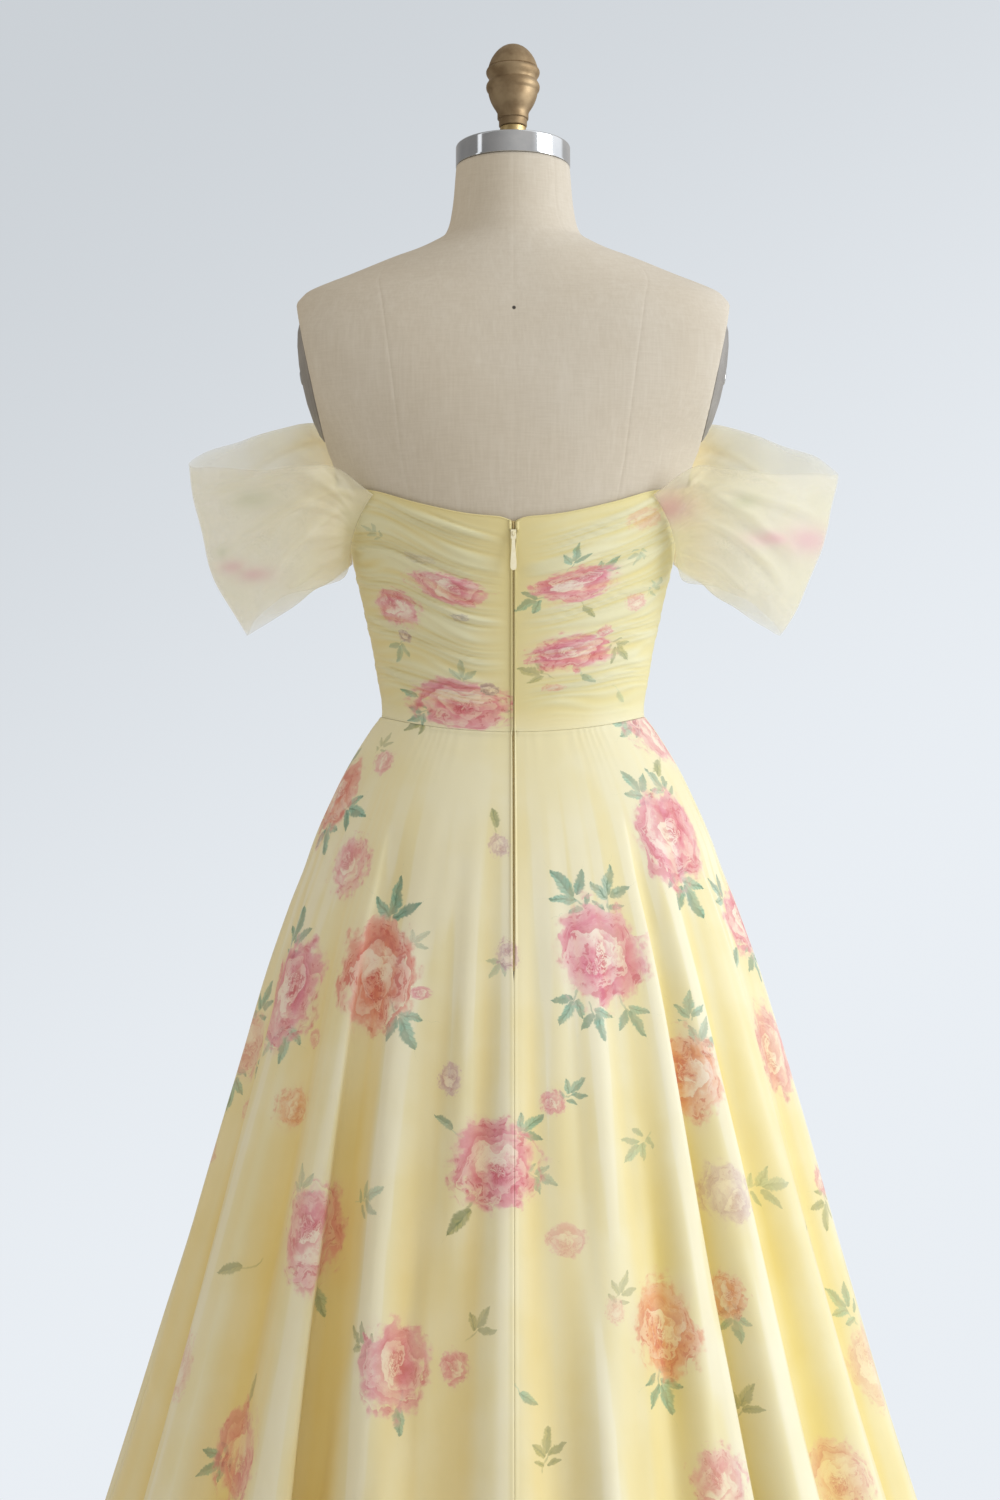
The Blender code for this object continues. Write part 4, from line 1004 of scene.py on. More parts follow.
# Folds, from the left side seam round the back: the ridge's and the trough's angles at the waist
# and at the hem, the trough's depth at the hem, and the drop where the fold starts
FOLDS = [
    (88, 86, 73, 70, 0.034, 0.15),
    (61, 62, 52, 47.5, 0.040, 0.12),
    (43, 33, 38, 28, 0.052, 0.09),
    (28.5, 15, 21, 10.5, 0.027, 0.16),
    (0, 0, -11.5, -5, 0.022, 0.20),
    (-18.5, -11.5, -26, -22.5, 0.032, 0.14),
    (-33, -29.5, -38, -35.5, 0.056, 0.08),
    (-44.5, -44, -51, -53, 0.044, 0.10),
    (-61.5, -64.5, -67.5, -71, 0.042, 0.12),
    (-84, -86, -92, -94, 0.040, 0.14),
    (-104, -105, -112, -113, 0.050, 0.12),
    (-125, -126, -130, -132, 0.056, 0.10),
    (-143, -145, -151, -154, 0.038, 0.16),
    (-163, -165, -168, -171, 0.052, 0.10),
    (-182, -184, -191, -194, 0.034, 0.15),
    (-203, -205, -208, -211, 0.058, 0.09),
    (-222, -225, -230, -233, 0.042, 0.13),
    (-244, -246, -249, -252, 0.052, 0.11),
]
STEEP_COLUMNS = 10
GENTLE_COLUMNS = 15
SKIRT_ROWS = 170
RIPPLE = 0.0024
RIPPLE_COUNTS = (29, 47, 17)
RIPPLES_START = 0.05
RIPPLES_GROW = 0.30
GATHER = 0.00016
GATHER_COUNT = 80
GATHER_REACH = 0.03
STREAK_COUNTS = ((110, 0.6), (290, 0.4))
# A fold's ridge rolls over its trough by this many degrees, where the fold is deep
UNDERCUT = 3.3
ROLLS_FROM = 0.032
ROLLS_OVER = 0.026
LIP_GROWS = 1.6
# How sharply the cut and the painted shade follow a fold's dip, and what else adds painted shade
CUT_SHARPNESS = 1.25
SHADE_SHARPNESS = 1.1
SHADE_GROWS = 3
FULL_SHADE_DEPTH = 0.05
RIPPLE_SHADE = 0.30
STREAK_SHADE = 0.32
STREAKS_GROW = 0.08
ROWS_CLOSER = 1.15
# Rolled edges, each line's distance in from the edge and its rise: at the zip, the waist and a hem
ZIP_ROLL = ((0.0, 0.0001), (0.0006, 0.0009), (0.0015, 0.0013), (0.0026, 0.0009), (0.0040, 0.0))
WAIST_ROLL = ((0.0, 0.0), (0.0010, 0.00015), (0.0030, 0.0002))
HEM_ROLL = ((0.0, -0.0006), (0.0006, 0.0007), (0.0022, 0.0009), (0.0040, 0.0006), (0.0048, 0.0))
SEAM_FLAT = 0.30
FLATTENS_OVER = 0.03
ROLL_ROOM = 0.85
# The photo doesn't show the back below this height, or nearer the front than this
PHOTO_FOOT = 0.31
SIDE_DEPTH = 0.03
# Unseen flowers: how high they go on the front, how far apart they are, and a bud's share of it
FRONT_TOP = 1.0
BACK_SPACE = 0.16
FRONT_SPACE = 0.15
BUD_SPACE = 0.62
TRIES = 900


def waist_height(angle):
    return WAIST_HEIGHT - WAIST_DIP * np.maximum(np.cos(angle), 0) ** 2


def zip_gap(height):
    """Half the distance between the two backs: the zip's groove, closing to a seam below it."""
    closing = np.clip((ZIP_END - height) / ZIP_CLOSING, 0, 1)
    spread = np.clip((height - ZIP_SPREAD_FOOT) / (ZIP_TOP - ZIP_SPREAD_FOOT), 0, 1)
    groove = np.interp(height, ZIP_NARROWS, ZIP_GROOVE)
    return groove / 2 * (1 - closing) + STITCHED * closing + ZIP_SPREAD * spread ** 1.5


def skirt_points(angle, drop, cut):
    """Points of the skirt at angles and drops, cut in by its folds."""
    rear = np.cos(angle) > 0
    seam = waist_height(angle) - STITCHED
    height = seam - drop * (seam - HEM_HEIGHT) / SKIRT[-1, 0]
    least = WAIST_EASE + SEAM + CLOTH
    back = np.maximum(read(SKIRT, 2, drop), read(BODY, 2, height) + least)
    front = np.maximum(read(SKIRT, 3, drop), read(BODY, 3, height) + least)
    half_width = np.maximum(read(SKIRT, 1, drop), read(BODY, 1, height) + least)
    points = oval(angle, half_width, np.where(rear, back, front), 2.0, height)
    level = points * (1, 1, 0)
    return points - level / np.linalg.norm(level, axis=2, keepdims=True) * cut[..., None]


def fold_place(index, steep, share, down):
    """The angles of a column of a fold, and how far it lies between the ridge and the trough."""
    ridge_top, ridge_hem, trough_top, trough_hem, depth = FOLDS[index % len(FOLDS)][:5]
    next_top, next_hem = FOLDS[(index + 1) % len(FOLDS)][:2]
    ridge = ridge_top + (ridge_hem - ridge_top) * down
    trough = trough_top + (trough_hem - trough_top) * down
    after = next_top + (next_hem - next_top) * down
    after = np.where(after > trough, after - 360, after)
    if steep:
        lip = UNDERCUT * min(max((depth - ROLLS_FROM) / ROLLS_OVER, 0), 1)
        rolled = lip * np.minimum(1, LIP_GROWS * down) * math.sin(2 * math.pi * share)
        angle = ridge + (trough - ridge) * share - rolled
        return np.radians(angle), 0.5 - 0.5 * math.cos(math.pi * share)
    return np.radians(trough + (after - trough) * share), 0.5 + 0.5 * math.cos(math.pi * share)


def ripples(angle, drop):
    """Small uneven ripples between the folds, growing down from the waist, and fine gathers at
    the waist seam."""
    wander = 1.4 * np.sin(3.1 * drop + 2.0 * angle) + 0.9 * np.sin(7.3 * drop - 3 * angle + 1.0)
    first, second, third = (count * angle for count in RIPPLE_COUNTS)
    first = np.sin(first + wander) * (0.55 + 0.45 * np.sin(4 * angle + 2.2 * drop + 0.6))
    second = np.sin(second - 1.3 * wander + 2.0) * (0.5 + 0.5 * np.sin(7 * angle - 3.0 * drop))
    third = np.sqrt(np.sin(third + 0.8 * wander + 0.5) ** 2 + 0.05) - 0.65
    grown = np.clip((drop - RIPPLES_START) / RIPPLES_GROW, 0, 1) ** 1.2
    gathers = np.sin(GATHER_COUNT * angle + 5 * np.sin(11 * angle)) * np.exp(-drop / GATHER_REACH)
    return RIPPLE * grown * (first + 0.6 * second + 0.9 * third) + GATHER * gathers


def shade_streaks(angle):
    """Thin bands of painted shade down the cloth, a little deeper or paler from band to band."""
    turned = np.degrees(angle) % 360
    bands = np.random.default_rng(5)
    result = np.zeros_like(turned)
    for count, share in STREAK_COUNTS:
        values = bands.uniform(-1, 1, count)
        values[-1] = values[0]
        result += share * np.interp(turned, np.linspace(0, 360, count), values)
    return result


def skirt_panel(first_fold, last_fold):
    """A panel's points from one fold's ridge to another's, and the shade painted at each, most in the
    troughs.
    """
    down = np.linspace(1, 0, SKIRT_ROWS) ** ROWS_CLOSER
    drop = SKIRT[-1, 0] * down
    places = []
    for index in range(first_fold, last_fold):
        places += [(index, True, i / STEEP_COLUMNS) for i in range(STEEP_COLUMNS)]
        places += [(index, False, i / GENTLE_COLUMNS) for i in range(GENTLE_COLUMNS)]
    angles, cuts, shades = [], [], []
    for index, steep, share in places + [(last_fold, True, 0)]:
        angle, dip = fold_place(index, steep, share, down)
        depth, start = FOLDS[index % len(FOLDS)][4:]
        grown = np.maximum(drop - start, 0) / (SKIRT[-1, 0] - start)
        angles.append(angle)
        cuts.append(depth * dip ** CUT_SHARPNESS * grown ** FOLD_GROWTH)
        shades.append(dip ** SHADE_SHARPNESS * np.minimum(1, grown * SHADE_GROWS) * min(1, depth / FULL_SHADE_DEPTH))
    angle, cut, dip = (np.stack(lists, axis=1) for lists in (angles, cuts, shades))
    drop = np.broadcast_to(drop[:, None], angle.shape)
    rippled = ripples(angle, drop)
    points = skirt_points(angle, drop, cut - rippled)
    # Painted shade: the fold's dip, the ripples' troughs and thin bands down the cloth
    painted_shade = dip + RIPPLE_SHADE * np.clip(-rippled / RIPPLE, 0, 1)
    painted_shade = painted_shade + STREAK_SHADE * shade_streaks(angle) * np.clip(drop / STREAKS_GROW, 0, 1)
    return np.concatenate([points, np.clip(painted_shade, 0, 1)[..., None]], axis=2)


def open_seams(points, gaps):
    """Move a panel's side edges in along its rows, to open its seams."""
    for edge, beside, gap in ((0, 1, gaps[0]), (-1, -2, gaps[1])):
        along = points[:, beside] - points[:, edge]
        along /= np.linalg.norm(along[:, :3], axis=1, keepdims=True)
        width = zip_gap(points[:, edge, 2]) if gap == "zip" else np.full(len(points), STITCHED)
        points[:, edge] += along * width[:, None]


def outward(points):
    """Each point's direction out of the sheet."""
    along, up = np.gradient(points[..., :3], axis=1), np.gradient(points[..., :3], axis=0)
    normal = np.cross(along, up)
    return normal / np.linalg.norm(normal, axis=2, keepdims=True)


def roll_edge(points, side, roll, flat_below=None):
    """Lay more lines beside an edge, raised as its rolled seam or hem, and flatter lower down."""
    out = np.pad(outward(points), ((0, 0), (0, 0), (0, points.shape[2] - 3)))
    level, last = side in ("foot", "top"), side in ("right", "top")
    if level:
        points, out = points.swapaxes(0, 1), out.swapaxes(0, 1)
    if last:
        points, out = points[:, ::-1], out[:, ::-1]
    along = points[:, 1] - points[:, 0]
    length = np.linalg.norm(along[:, :3], axis=1, keepdims=True)
    fit = np.minimum(1 / length, ROLL_ROOM / roll[-1][0])
    raised = out[:, 0]
    if flat_below:
        full = np.clip((points[:, :1, 2] - flat_below) / FLATTENS_OVER, 0, 1)
        raised = raised * (SEAM_FLAT + (1 - SEAM_FLAT) * full)
    lines = [points[:, 0] + along * fit * away + raised * rise for away, rise in roll]
    points = np.concatenate([np.stack(lines, axis=1), points[:, 1:]], axis=1)
    if last:
        points = points[:, ::-1]
    return points.swapaxes(0, 1) if level else points


def finish_cloth(name, cloth, replaced, flat, area):
    """A printed panel as a thin wall, in place of its CAD solid."""
    piece = lay_grid(name, cloth.points)
    cloth.print_on(piece.data)
    weigh(piece, "painted_shade", cloth.painted_shade)
    thicken(piece, CLOTH)
    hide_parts(replaced)
    dress_in(piece, chiffon)


def scatter_spots(cloth, rng, keep, space):
    """Rows and columns for the unseen roses and buds, a space apart in the cloth."""
    taken = []
    rows, columns = cloth.points.shape[:2]
    for attempt in range(TRIES):
        row, column = rng.randrange(6, rows - 6), rng.randrange(4, columns - 4)
        point = cloth.points[row, column]
        kind = rng.choice(("rose", "rose", "bud"))
        apart = space if kind == "rose" else space * BUD_SPACE
        if keep(point) and all(np.linalg.norm(point - other) > apart for other in taken):
            taken.append(point)
            yield row, column, kind


def is_unseen(point):
    """True where the photo doesn't show the back of the skirt."""
    return point[2] < PHOTO_FOOT or point[1] < SIDE_DEPTH


chance = random.Random(11)
for name, replaced, first, last, gaps, flat, area in (
    ("skirt_panel_left", "skirt_back_left", 0, 4, ("seam", "zip"), (0.963, 1.064), 0.604),
    ("skirt_panel_right", "skirt_back_right", 4, 9, ("zip", "seam"), (0.963, 1.064), 0.604),
    ("skirt_panel_front", "skirt_front", 9, 18, ("seam", "seam"), (1.780, 1.110), 1.210),
):
    points = skirt_panel(first, last)
    if gaps[0] == "zip":
        zip_line = points[:, 0, 1:3].copy()
    open_seams(points, gaps)
    for edge, gap in zip(("left", "right"), gaps):
        roll, flat_below = (ZIP_ROLL, ZIP_END) if gap == "zip" else (WAIST_ROLL, None)
        points = roll_edge(points, edge, roll, flat_below)
    points = roll_edge(roll_edge(points, "top", WAIST_ROLL), "foot", HEM_ROLL)
    cloth = Cloth(points)
    if name != "skirt_panel_front":
        print_seen(cloth, chance)
        spots = scatter_spots(cloth, chance, is_unseen, BACK_SPACE)
    else:
        spots = scatter_spots(cloth, chance, lambda p: p[2] < FRONT_TOP, FRONT_SPACE)
    scatter(cloth, chance, spots)
    finish_cloth(name, cloth, replaced, flat, area)


# Bodice: the same chiffon gathered over a close lining, in a front and two backs. Its fine pleats
# run from the sleeves and the side seams to the zip, and the print is broken up by them.
BODICE_ROWS = 150
PLEATS = 13
PLEAT_FAN = 2.4
PLEAT_HEIGHT = 0.0046
FINE_PLEAT = 0.0013
# A pleat's crest lies at this share of its width. The pleats fade at the zip and low at the sides
PLEAT_CREST = 0.66
FADES_BESIDE_ZIP = (2.5, 16)
FADES_AT_SIDE = (58, 22)
CORNER_DROP = 0.003
CORNER_REACH = 2.6
BODICE_SPACE = 0.085
FLOWERS_FROM = 1.07
# Shade is painted low between the pleats, and each pleat takes up some of the print
PLEAT_SHADE = 0.55
SHADE_BELOW = 2.2
TAKEN_UP = 0.0045
TOP_ROLL = ((0.0, -0.0003), (0.0003, 0.0002), (0.0010, 0.0004))
# Top edge, by the angle from the centre back
TOP_EDGE = np.array([
    (0, 1.234),
    (15, 1.238),
    (32, 1.248),
    (50, 1.260),
    (72, 1.265),
    (90, 1.272),
    (108, 1.300),
    (128, 1.333),
    (145, 1.325),
    (165, 1.300),
    (180, 1.292),
])


def top_height(angle):
    turned = np.degrees(angle) % 360
    return read(TOP_EDGE, 1, np.minimum(turned, 360 - turned))


def pleat_height(angle, share):
    """How far the pleats stand up, and the count of pleats up to each point. They fan out from
    the sides, lower at the zip, and no two are alike."""
    turn = np.abs((np.degrees(angle) + 180) % 360 - 180)
    count = PLEATS * share + PLEAT_FAN * share ** 1.4 * np.clip(1 - turn / 80, 0, 1)
    count = count + 0.26 * np.sin(3.1 * angle + 3 * share) + 0.06 * np.sin(9 * angle - 5 * share + 1)
    count = count + 0.26 * np.sin(2.4 * count)
    number, part = np.floor(count), count % 1.0
    fine = 0.5 + 0.5 * np.sin(2 * math.pi * (2.6 * count + 0.5 * np.sin(6 * angle)))
    swell = np.sin(np.minimum(part / PLEAT_CREST, 1) * math.pi / 2) ** 1.6
    fall = np.cos(np.maximum(part - PLEAT_CREST, 0) / (1 - PLEAT_CREST) * math.pi / 2) ** 0.8
    strong = 0.66 + 0.34 * np.sin(2.9 * number + 1.0)
    fading = 0.60 + 0.40 * np.sin(4.4 * angle + 1.9 * number)
    edges = np.clip(share * 7, 0, 1) * np.clip((1 - share) * 12, 0, 1)
    beside_zip = np.clip((turn - FADES_BESIDE_ZIP[0]) / FADES_BESIDE_ZIP[1], 0, 1)
    at_side = 1 - 0.75 * np.clip((turn - FADES_AT_SIDE[0]) / FADES_AT_SIDE[1], 0, 1)
    low = 0.5 + 0.5 * np.clip((share - 0.10) / 0.35, 0, 1)
    pleat = PLEAT_HEIGHT * swell * fall * strong * fading * low + FINE_PLEAT * fine
    return pleat * edges * beside_zip * at_side, count


for name, replaced, start, end, steps, gaps, flat in (
    ("bodice_panel_left", "bodice_back_left", 90, 0, 92, ("seam", "zip"), (0.20, 0.25)),
    ("bodice_panel_right", "bodice_back_right", 0, -90, 92, ("zip", "seam"), (0.20, 0.25)),
    ("bodice_panel_front", "bodice_front", -90, -270, 170, ("seam", "seam"), (0.39, 0.31)),
):
    share = np.linspace(0, 1, BODICE_ROWS)[:, None]
    angle = np.radians(np.linspace(start, end, steps))[None, :]
    foot = waist_height(angle) + STITCHED
    corner = CORNER_DROP * np.exp(-(angle / math.radians(CORNER_REACH)) ** 2)
    height = foot + (top_height(angle) - corner - foot) * share
    ease = WAIST_EASE + (EASE - WAIST_EASE) * np.minimum(share * 8, 1)
    points = body_points(np.broadcast_to(angle, height.shape), height, ease + CLOTH)
    rise, count = pleat_height(angle, share)
    points = points + outward(points) * rise[..., None]
    # Painted shade between the pleats, where they stand lowest
    painted_shade = PLEAT_SHADE * np.clip(1 - rise / PLEAT_HEIGHT * SHADE_BELOW, 0, 1)
    painted_shade = painted_shade * np.clip(share * 9, 0, 1)
    drawn = TAKEN_UP * (count - 0.15 * np.sin(2 * math.pi * count))
    points = np.concatenate([points, painted_shade[..., None], drawn[..., None]], axis=2)
    if gaps[0] == "zip":
        zip_line = np.concatenate([zip_line, points[:, 0, 1:3]])
    open_seams(points, gaps)
    for edge, gap in zip(("left", "right"), gaps):
        if gap == "zip":
            points = roll_edge(points, edge, ZIP_ROLL)
    points = roll_edge(roll_edge(points, "foot", WAIST_ROLL), "top", TOP_ROLL)
    cloth = Cloth(points)
    cloth.along = cloth.along + points[..., 4]
    if name == "bodice_panel_front":
        spots = scatter_spots(cloth, chance, lambda p: p[2] > FLOWERS_FROM, BODICE_SPACE)
        scatter(cloth, chance, spots)
    else:
        print_seen(cloth, chance)
    finish_cloth(name, cloth, replaced, flat, None)


# Sleeves: one open band of organza for each arm, seamed to the bodice at the side back and the
# side front. It stands away from the arm in a few soft folds, and is sheer where it is single.
ORGANZA = 0.0010
SLEEVE_BILLOW = 0.010
SLEEVE_BULGE = 0.010
RIGHT_SLEEVE_SAG = 0.007
SLEEVE_ROWS = 56
SLEEVE_STEPS = 12
SLEEVE_GATHER = 0.62
# Soft folds that fan out from the seams, pinches beside the seams and a flutter at the edges
SOFT_FOLD = 0.0030
FINE_FOLD = 0.0018
PINCH = 0.0016
PINCH_PLACE = 0.10
FLUTTER = 0.0028
SEAM_HOLDS = 0.12
BAND_SIZE = (0.42, 0.15)
# The band's top and bottom edges from the back seam round the arm to the front
SLEEVE = np.array([
    (0.158, 0.078, 1.280, 0.156, 0.036, 1.181),
    (0.186, 0.079, 1.281, 0.184, 0.047, 1.174),
    (0.226, 0.064, 1.279, 0.208, 0.046, 1.165),
    (0.268, 0.034, 1.284, 0.230, 0.028, 1.149),
    (0.296, 0.000, 1.288, 0.243, -0.002, 1.134),
    (0.279, -0.031, 1.305, 0.233, -0.032, 1.142),
    (0.253, -0.056, 1.316, 0.216, -0.050, 1.154),
    (0.222, -0.078, 1.329, 0.196, -0.060, 1.169),
    (0.186, -0.093, 1.337, 0.173, -0.054, 1.184),
])
# Where the band is sewn on: the angle and height of the seam's top and of its foot
BACK_SLEEVE_SEAM = (49, 1.2560, 83, 1.1985)
FRONT_SLEEVE_SEAM = (127, 1.3250, 99, 1.2000)


def sleeve_lines(sag):
    """The band's lines, each from its top edge to its bottom edge."""
    share = np.linspace(0, 1, SLEEVE_ROWS)
    out = EASE + CLOTH + PLEAT_HEIGHT * 0.7 + SEAM + ORGANZA / 2
    lines = []
    for band in SLEEVE:
        outer = (band[0] - SLEEVE[0, 0]) / (SLEEVE[4, 0] - SLEEVE[0, 0])
        top = band[:3] - (0, 0, sag * max(outer, 0))
        line = top + (band[3:] - top) * share[:, None]
        forward = math.copysign(min(abs(band[1]) / 0.05, 1), band[1])
        line[:, 1] += SLEEVE_BILLOW * np.sin(math.pi * share) * forward
        line[:, 0] += SLEEVE_BULGE * np.sin(math.pi * share) * max(outer, 0) ** 2
        lines.append(line)
    for seam, place in ((BACK_SLEEVE_SEAM, 0), (FRONT_SLEEVE_SEAM, len(lines) + 1)):
        angle = np.radians(seam[0] + (seam[2] - seam[0]) * share)
        height = seam[1] + (seam[3] - seam[1]) * share
        lines.insert(place, body_points(angle, height, out))
    return np.stack(lines, axis=1)


def smooth_columns(lines, steps):
    """More columns between the given ones, on smooth curves through their points."""
    count = lines.shape[1]
    keys = np.arange(count)
    at = np.linspace(0, count - 1, (count - 1) * steps + 1)
    result = []
    for axis in range(3):
        table = np.stack([keys] + [lines[row, :, axis] for row in range(len(lines))], axis=1)
        result.append(np.stack([read(table, row + 1, at) for row in range(len(lines))], axis=0))
    return np.stack(result, axis=-1)


# The cloth is denser where it is gathered at its back and front seams and along a crease, where the
# deeper gold is partly painted shade, and thinner at its edges. Each gathering: how dense, and how far
# it reaches round the band
BACK_DENSE = (0.45, 0.12)
FRONT_DENSE = (1.0, 0.22)
CREASE_DENSE_AND_SHADE = 50
EDGE_THIN = 0.30
VEILS = ((0.89, 0.865, 0.77), (0.875, 0.845, 0.68))
BLUSH = (0.83, 0.36, 0.58)
FRESH = (0.42, 0.50, 0.30)
DENSE_AND_SHADED_GOLD = (0.86, 0.68, 0.32)

organza = Finish("Organza", (0.86, 0.79, 0.52), 0.55, Sheen_Weight=0.25)
mist = organza.place.noise(22.0, 3.0)
mesh_weave = organza.place.noise(1700.0, 1.0)
blush = organza.attribute("blush", out="Fac")
fresh = organza.attribute("fresh", out="Fac")
density_and_shade = organza.attribute("density_and_shade", out="Fac")
veil = mist.ease(0.3, 0.7).blend(*VEILS)
veil = (0.85 * blush).blend(veil, BLUSH)
veil = (0.6 * fresh).blend(veil, FRESH)
# Deeper gold where dense: real at the gathered seams, painted shade along the creases
veil = (0.7 * density_and_shade.ease(0.5, 1.0)).blend(veil, DENSE_AND_SHADED_GOLD)
organza.link(
    Base_Color=veil,
    Roughness=0.5 + 0.1 * mesh_weave,
    Normal=mist.bump(0.25, 0.002),
)
cover = 0.20 + 0.10 * mist + 0.08 * mesh_weave + 0.15 * blush + 0.10 * fresh + 0.5 * density_and_shade
soft_fabric(organza, 0.40, (0.90, 0.87, 0.66), cover)

CREASE_SHARE = 0.75
# Creases listed by shares round the band and down it: start, end, width and height
CREASES = {
    "left": [
        ((0.02, 0.12), (0.44, 0.56), 0.007, 0.0045), ((0.04, 0.30), (0.36, 0.86), 0.006, 0.0035),
        ((0.12, 0.05), (0.50, 0.20), 0.006, 0.0030), ((0.05, 0.78), (0.30, 0.97), 0.005, 0.0030),
        ((0.99, 0.12), (0.60, 0.22), 0.005, 0.0035), ((0.98, 0.40), (0.62, 0.62), 0.006, 0.0030),
    ],
    "right": [
        ((0.01, 0.06), (0.46, 0.62), 0.008, 0.0050), ((0.06, 0.40), (0.45, 0.80), 0.006, 0.0035),
        ((0.10, 0.16), (0.52, 0.30), 0.006, 0.0030), ((0.05, 0.72), (0.34, 0.96), 0.005, 0.0030),
        ((0.99, 0.16), (0.60, 0.26), 0.005, 0.0030), ((0.97, 0.50), (0.64, 0.70), 0.006, 0.0030),
    ],
}


def crease(around, down, start, end, width):
    """A soft ridge between two places on the band, with a shallow trough below it, from 1 to 0."""
    x, y = (around - start[0]) * BAND_SIZE[0], (down - start[1]) * BAND_SIZE[1]
    run, fall = (end[0] - start[0]) * BAND_SIZE[0], (end[1] - start[1]) * BAND_SIZE[1]
    length = math.hypot(run, fall)
    along = (x * run + y * fall) / length / length
    aside = (y * abs(run) - x * fall * math.copysign(1, run)) / length + 0.004 * np.sin(5 * along)
    fade = np.clip(along * 6, 0, 1) * np.clip((1 - along) * 3, 0, 1)
    return fade * (np.exp(-(aside / width) ** 2) - 0.5 * np.exp(-(aside / width - 1.7) ** 2))


# Dyed patches seen through the layers: x, z, half width, half height, and which dye
PATCHES = [
    (0.252, 1.194, 0.014, 0.007, "blush"),
    (0.232, 1.187, 0.018, 0.007, "blush"),
    (0.232, 1.253, 0.020, 0.009, "fresh"),
    (0.262, 1.208, 0.007, 0.005, "fresh"),
    (-0.266, 1.219, 0.026, 0.013, "blush"),
    (-0.230, 1.218, 0.022, 0.007, "blush"),
    (-0.142, 1.245, 0.018, 0.014, "blush"),
    (-0.205, 1.250, 0.012, 0.006, "fresh"),
]
for side, name, sag in ((1, "left", 0.0), (-1, "right", RIGHT_SLEEVE_SAG)):
    points = smooth_columns(sleeve_lines(sag), SLEEVE_STEPS)[::-1] * (side, 1, 1)
    rows, columns = points.shape[:2]
    down = np.linspace(1, 0, rows)[:, None]
    around = np.linspace(0, 1, columns)[None, :]
    if side > 0:
        points, around = points[:, ::-1], around[:, ::-1]
    from_seam = np.minimum(around, 1 - around)
    near_seam = np.clip(from_seam / SEAM_HOLDS, 0, 1) ** 1.5
    edge = np.sin(math.pi * down) ** 0.5
    ray = (down - SLEEVE_GATHER) / (from_seam + 0.14) + 0.25 * np.sin(5 * around + side)
    folds = SOFT_FOLD * np.sin(3.6 * ray + side) + FINE_FOLD * np.sin(8.1 * ray + 4 * around)
    pinched = PINCH * np.sin(17 * ray) * np.exp(-(from_seam / PINCH_PLACE - 1) ** 2)
    ridge = np.zeros_like(down * around)
    for start, end, width, height in CREASES[name]:
        ridge = ridge + CREASE_SHARE * height * crease(around, down, start, end, width)
    flutter = FLUTTER * np.sin(34 * around + side) * np.abs(2 * down - 1) ** 4
    lift = near_seam * ((folds + pinched) * edge * np.exp(-from_seam) + flutter) + ridge
    points = points + outward(points) * lift[..., None]
    piece = lay_grid(f"sleeve_band_{name}", points)
    # Density: real at the gathered seams and thin edges, painted shade along the creases
    density_and_crease_shade = CREASE_DENSE_AND_SHADE * np.maximum(ridge, 0) - EDGE_THIN * np.exp(-30 * np.minimum(down, 1 - down))
    for (amount, wide), away in ((BACK_DENSE, around), (FRONT_DENSE, 1 - around)):
        density_and_crease_shade = density_and_crease_shade + amount * np.exp(-(away / wide) ** 2)
    weigh(piece, "density_and_shade", np.minimum(density_and_crease_shade, 1))
    for patch in ("blush", "fresh"):
        strength = np.zeros((rows, columns))
        for x, z, half_width, half_height, dye in PATCHES:
            if dye == patch:
                aside, above = (points[..., 0] - x) / half_width, (points[..., 2] - z) / half_height
                here = np.exp(-(aside ** 2 + above ** 2)) * (points[..., 1] > 0)
                strength = np.maximum(strength, here)
        weigh(piece, patch, strength)
    thicken(piece, ORGANZA, offset=0)
    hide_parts(f"sleeve_{name}")
    dress_in(piece, organza)
    seams = ["bodice_back_" + name, "bodice_front"]


# Zip: a woven tape behind the backs, a nylon coil down its middle, and a small enamelled slider
# with its hanging teardrop tab at the top.
TAPE_BELOW = 0.0017
TAPE_WALL = 0.0003
TAPE_ROWS = 160
TAPE_SHAPE = (
    (-0.0045, 0.0), (-0.0009, 0.0), (-0.0007, 0.0008), (0.0007, 0.0008), (0.0009, 0.0), (0.0045, 0.0),
)
TOOTH = (0.0012, 0.0010, 0.0009)
TOOTH_BEVEL = 0.00032
TOOTH_BELOW = 0.0007
TOOTH_PITCH = 0.0014
TOOTH_ASIDE = 0.0001
FIRST_TOOTH = ZIP_END + 0.003
LAST_TOOTH = ZIP_TOP - 0.001

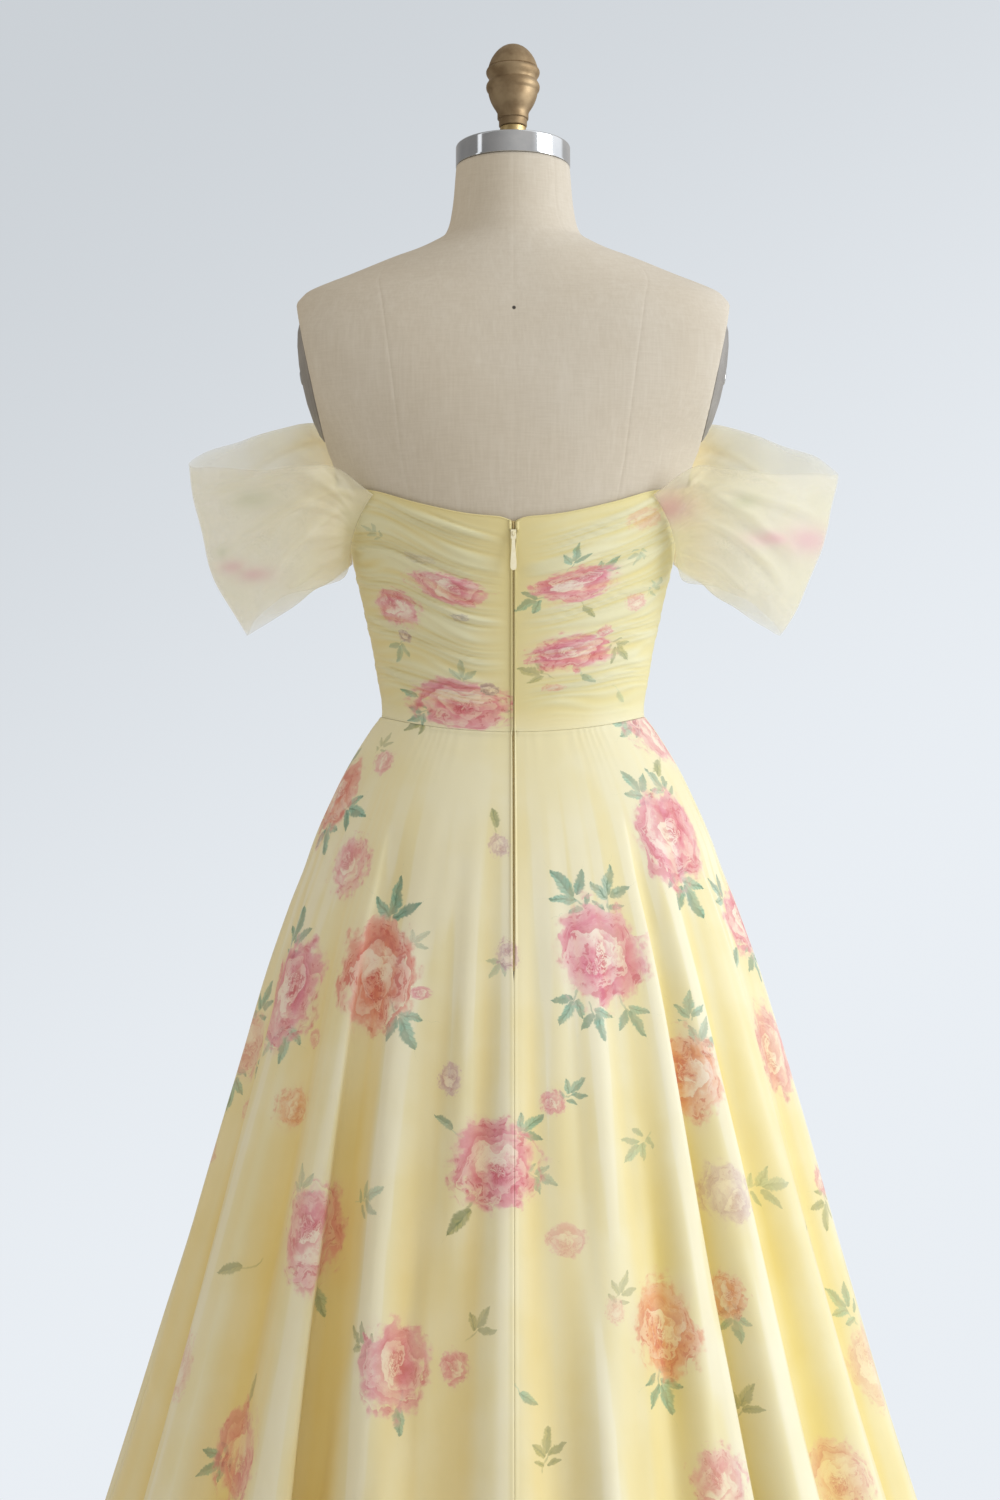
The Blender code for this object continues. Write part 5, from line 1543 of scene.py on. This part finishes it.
rows = np.linspace(ZIP_END + 0.001, ZIP_TOP, TAPE_ROWS)
skin = np.interp(rows, zip_line[:, 1], zip_line[:, 0])
points = np.array([[(x, y - TAPE_BELOW + rise, z) for x, rise in reversed(TAPE_SHAPE)]
                   for y, z in zip(skin, rows)])
tape = lay_grid("zip_woven_tape", points)
thicken(tape, TAPE_WALL)
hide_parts("zip_tape")
weave = Finish("Zip tape", (0.66, 0.52, 0.24), 0.85)
ribs = weave.place.stretched((1, 1, 0.3)).noise(1600.0, 1.0)
weave.link(
    Base_Color=ribs.ease(0.3, 0.7).blend((0.60, 0.46, 0.20), (0.74, 0.60, 0.32)),
    Normal=ribs.bump(0.3, 0.0002),
)
dress_in(tape, weave)

bare()
bpy.ops.mesh.primitive_cube_add(size=1)
coil = bpy.context.object
coil.name = "zip_coil"
coil.data.name = "zip_coil"
coil.scale = TOOTH
bpy.ops.object.transform_apply(scale=True)
bpy.ops.object.mode_set(mode="EDIT")
bpy.ops.mesh.select_all(action="SELECT")
bpy.ops.mesh.bevel(offset=TOOTH_BEVEL, segments=1)
bpy.ops.object.mode_set(mode="OBJECT")
bpy.ops.object.shade_smooth()
corners = len(coil.data.vertices)
row_of_teeth = coil.modifiers.new("Teeth", "ARRAY")
row_of_teeth.count = int((LAST_TOOTH - FIRST_TOOTH) / TOOTH_PITCH)
row_of_teeth.use_relative_offset = False
row_of_teeth.use_constant_offset = True
row_of_teeth.constant_offset_displace = (0, 0, TOOTH_PITCH)
bpy.ops.object.modifier_apply(modifier=row_of_teeth.name)
places = np.array([vertex.co for vertex in coil.data.vertices])
number = np.arange(len(places)) // corners
skin = np.interp(FIRST_TOOTH + number * TOOTH_PITCH, zip_line[:, 1], zip_line[:, 0])
places[:, 0] += TOOTH_ASIDE * (1 - 2 * (number % 2))
places[:, 1] += skin - TOOTH_BELOW
places[:, 2] += FIRST_TOOTH
write(places, coil.data.vertices, "co")
nylon = Finish("Nylon coil", (0.62, 0.50, 0.25), 0.45)
cloudy = nylon.place.noise(500.0)
nylon.link(Base_Color=cloudy.ease(0.3, 0.7).blend((0.56, 0.44, 0.20), (0.70, 0.58, 0.32)))
dress_in(coil, nylon)

ENAMEL_TONES = ((0.86, 0.80, 0.57), (0.91, 0.86, 0.66))
enamel = Finish("Cream enamel", (0.90, 0.84, 0.62), 0.32, Coat_Weight=0.4, Coat_Roughness=0.15)
enamel.wear(300.0, 3.0, (0.26, 0.18), (0.35, 0.7), ENAMEL_TONES)
coat(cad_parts["zip_slider"], enamel)
coat(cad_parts["zip_pull"], enamel)
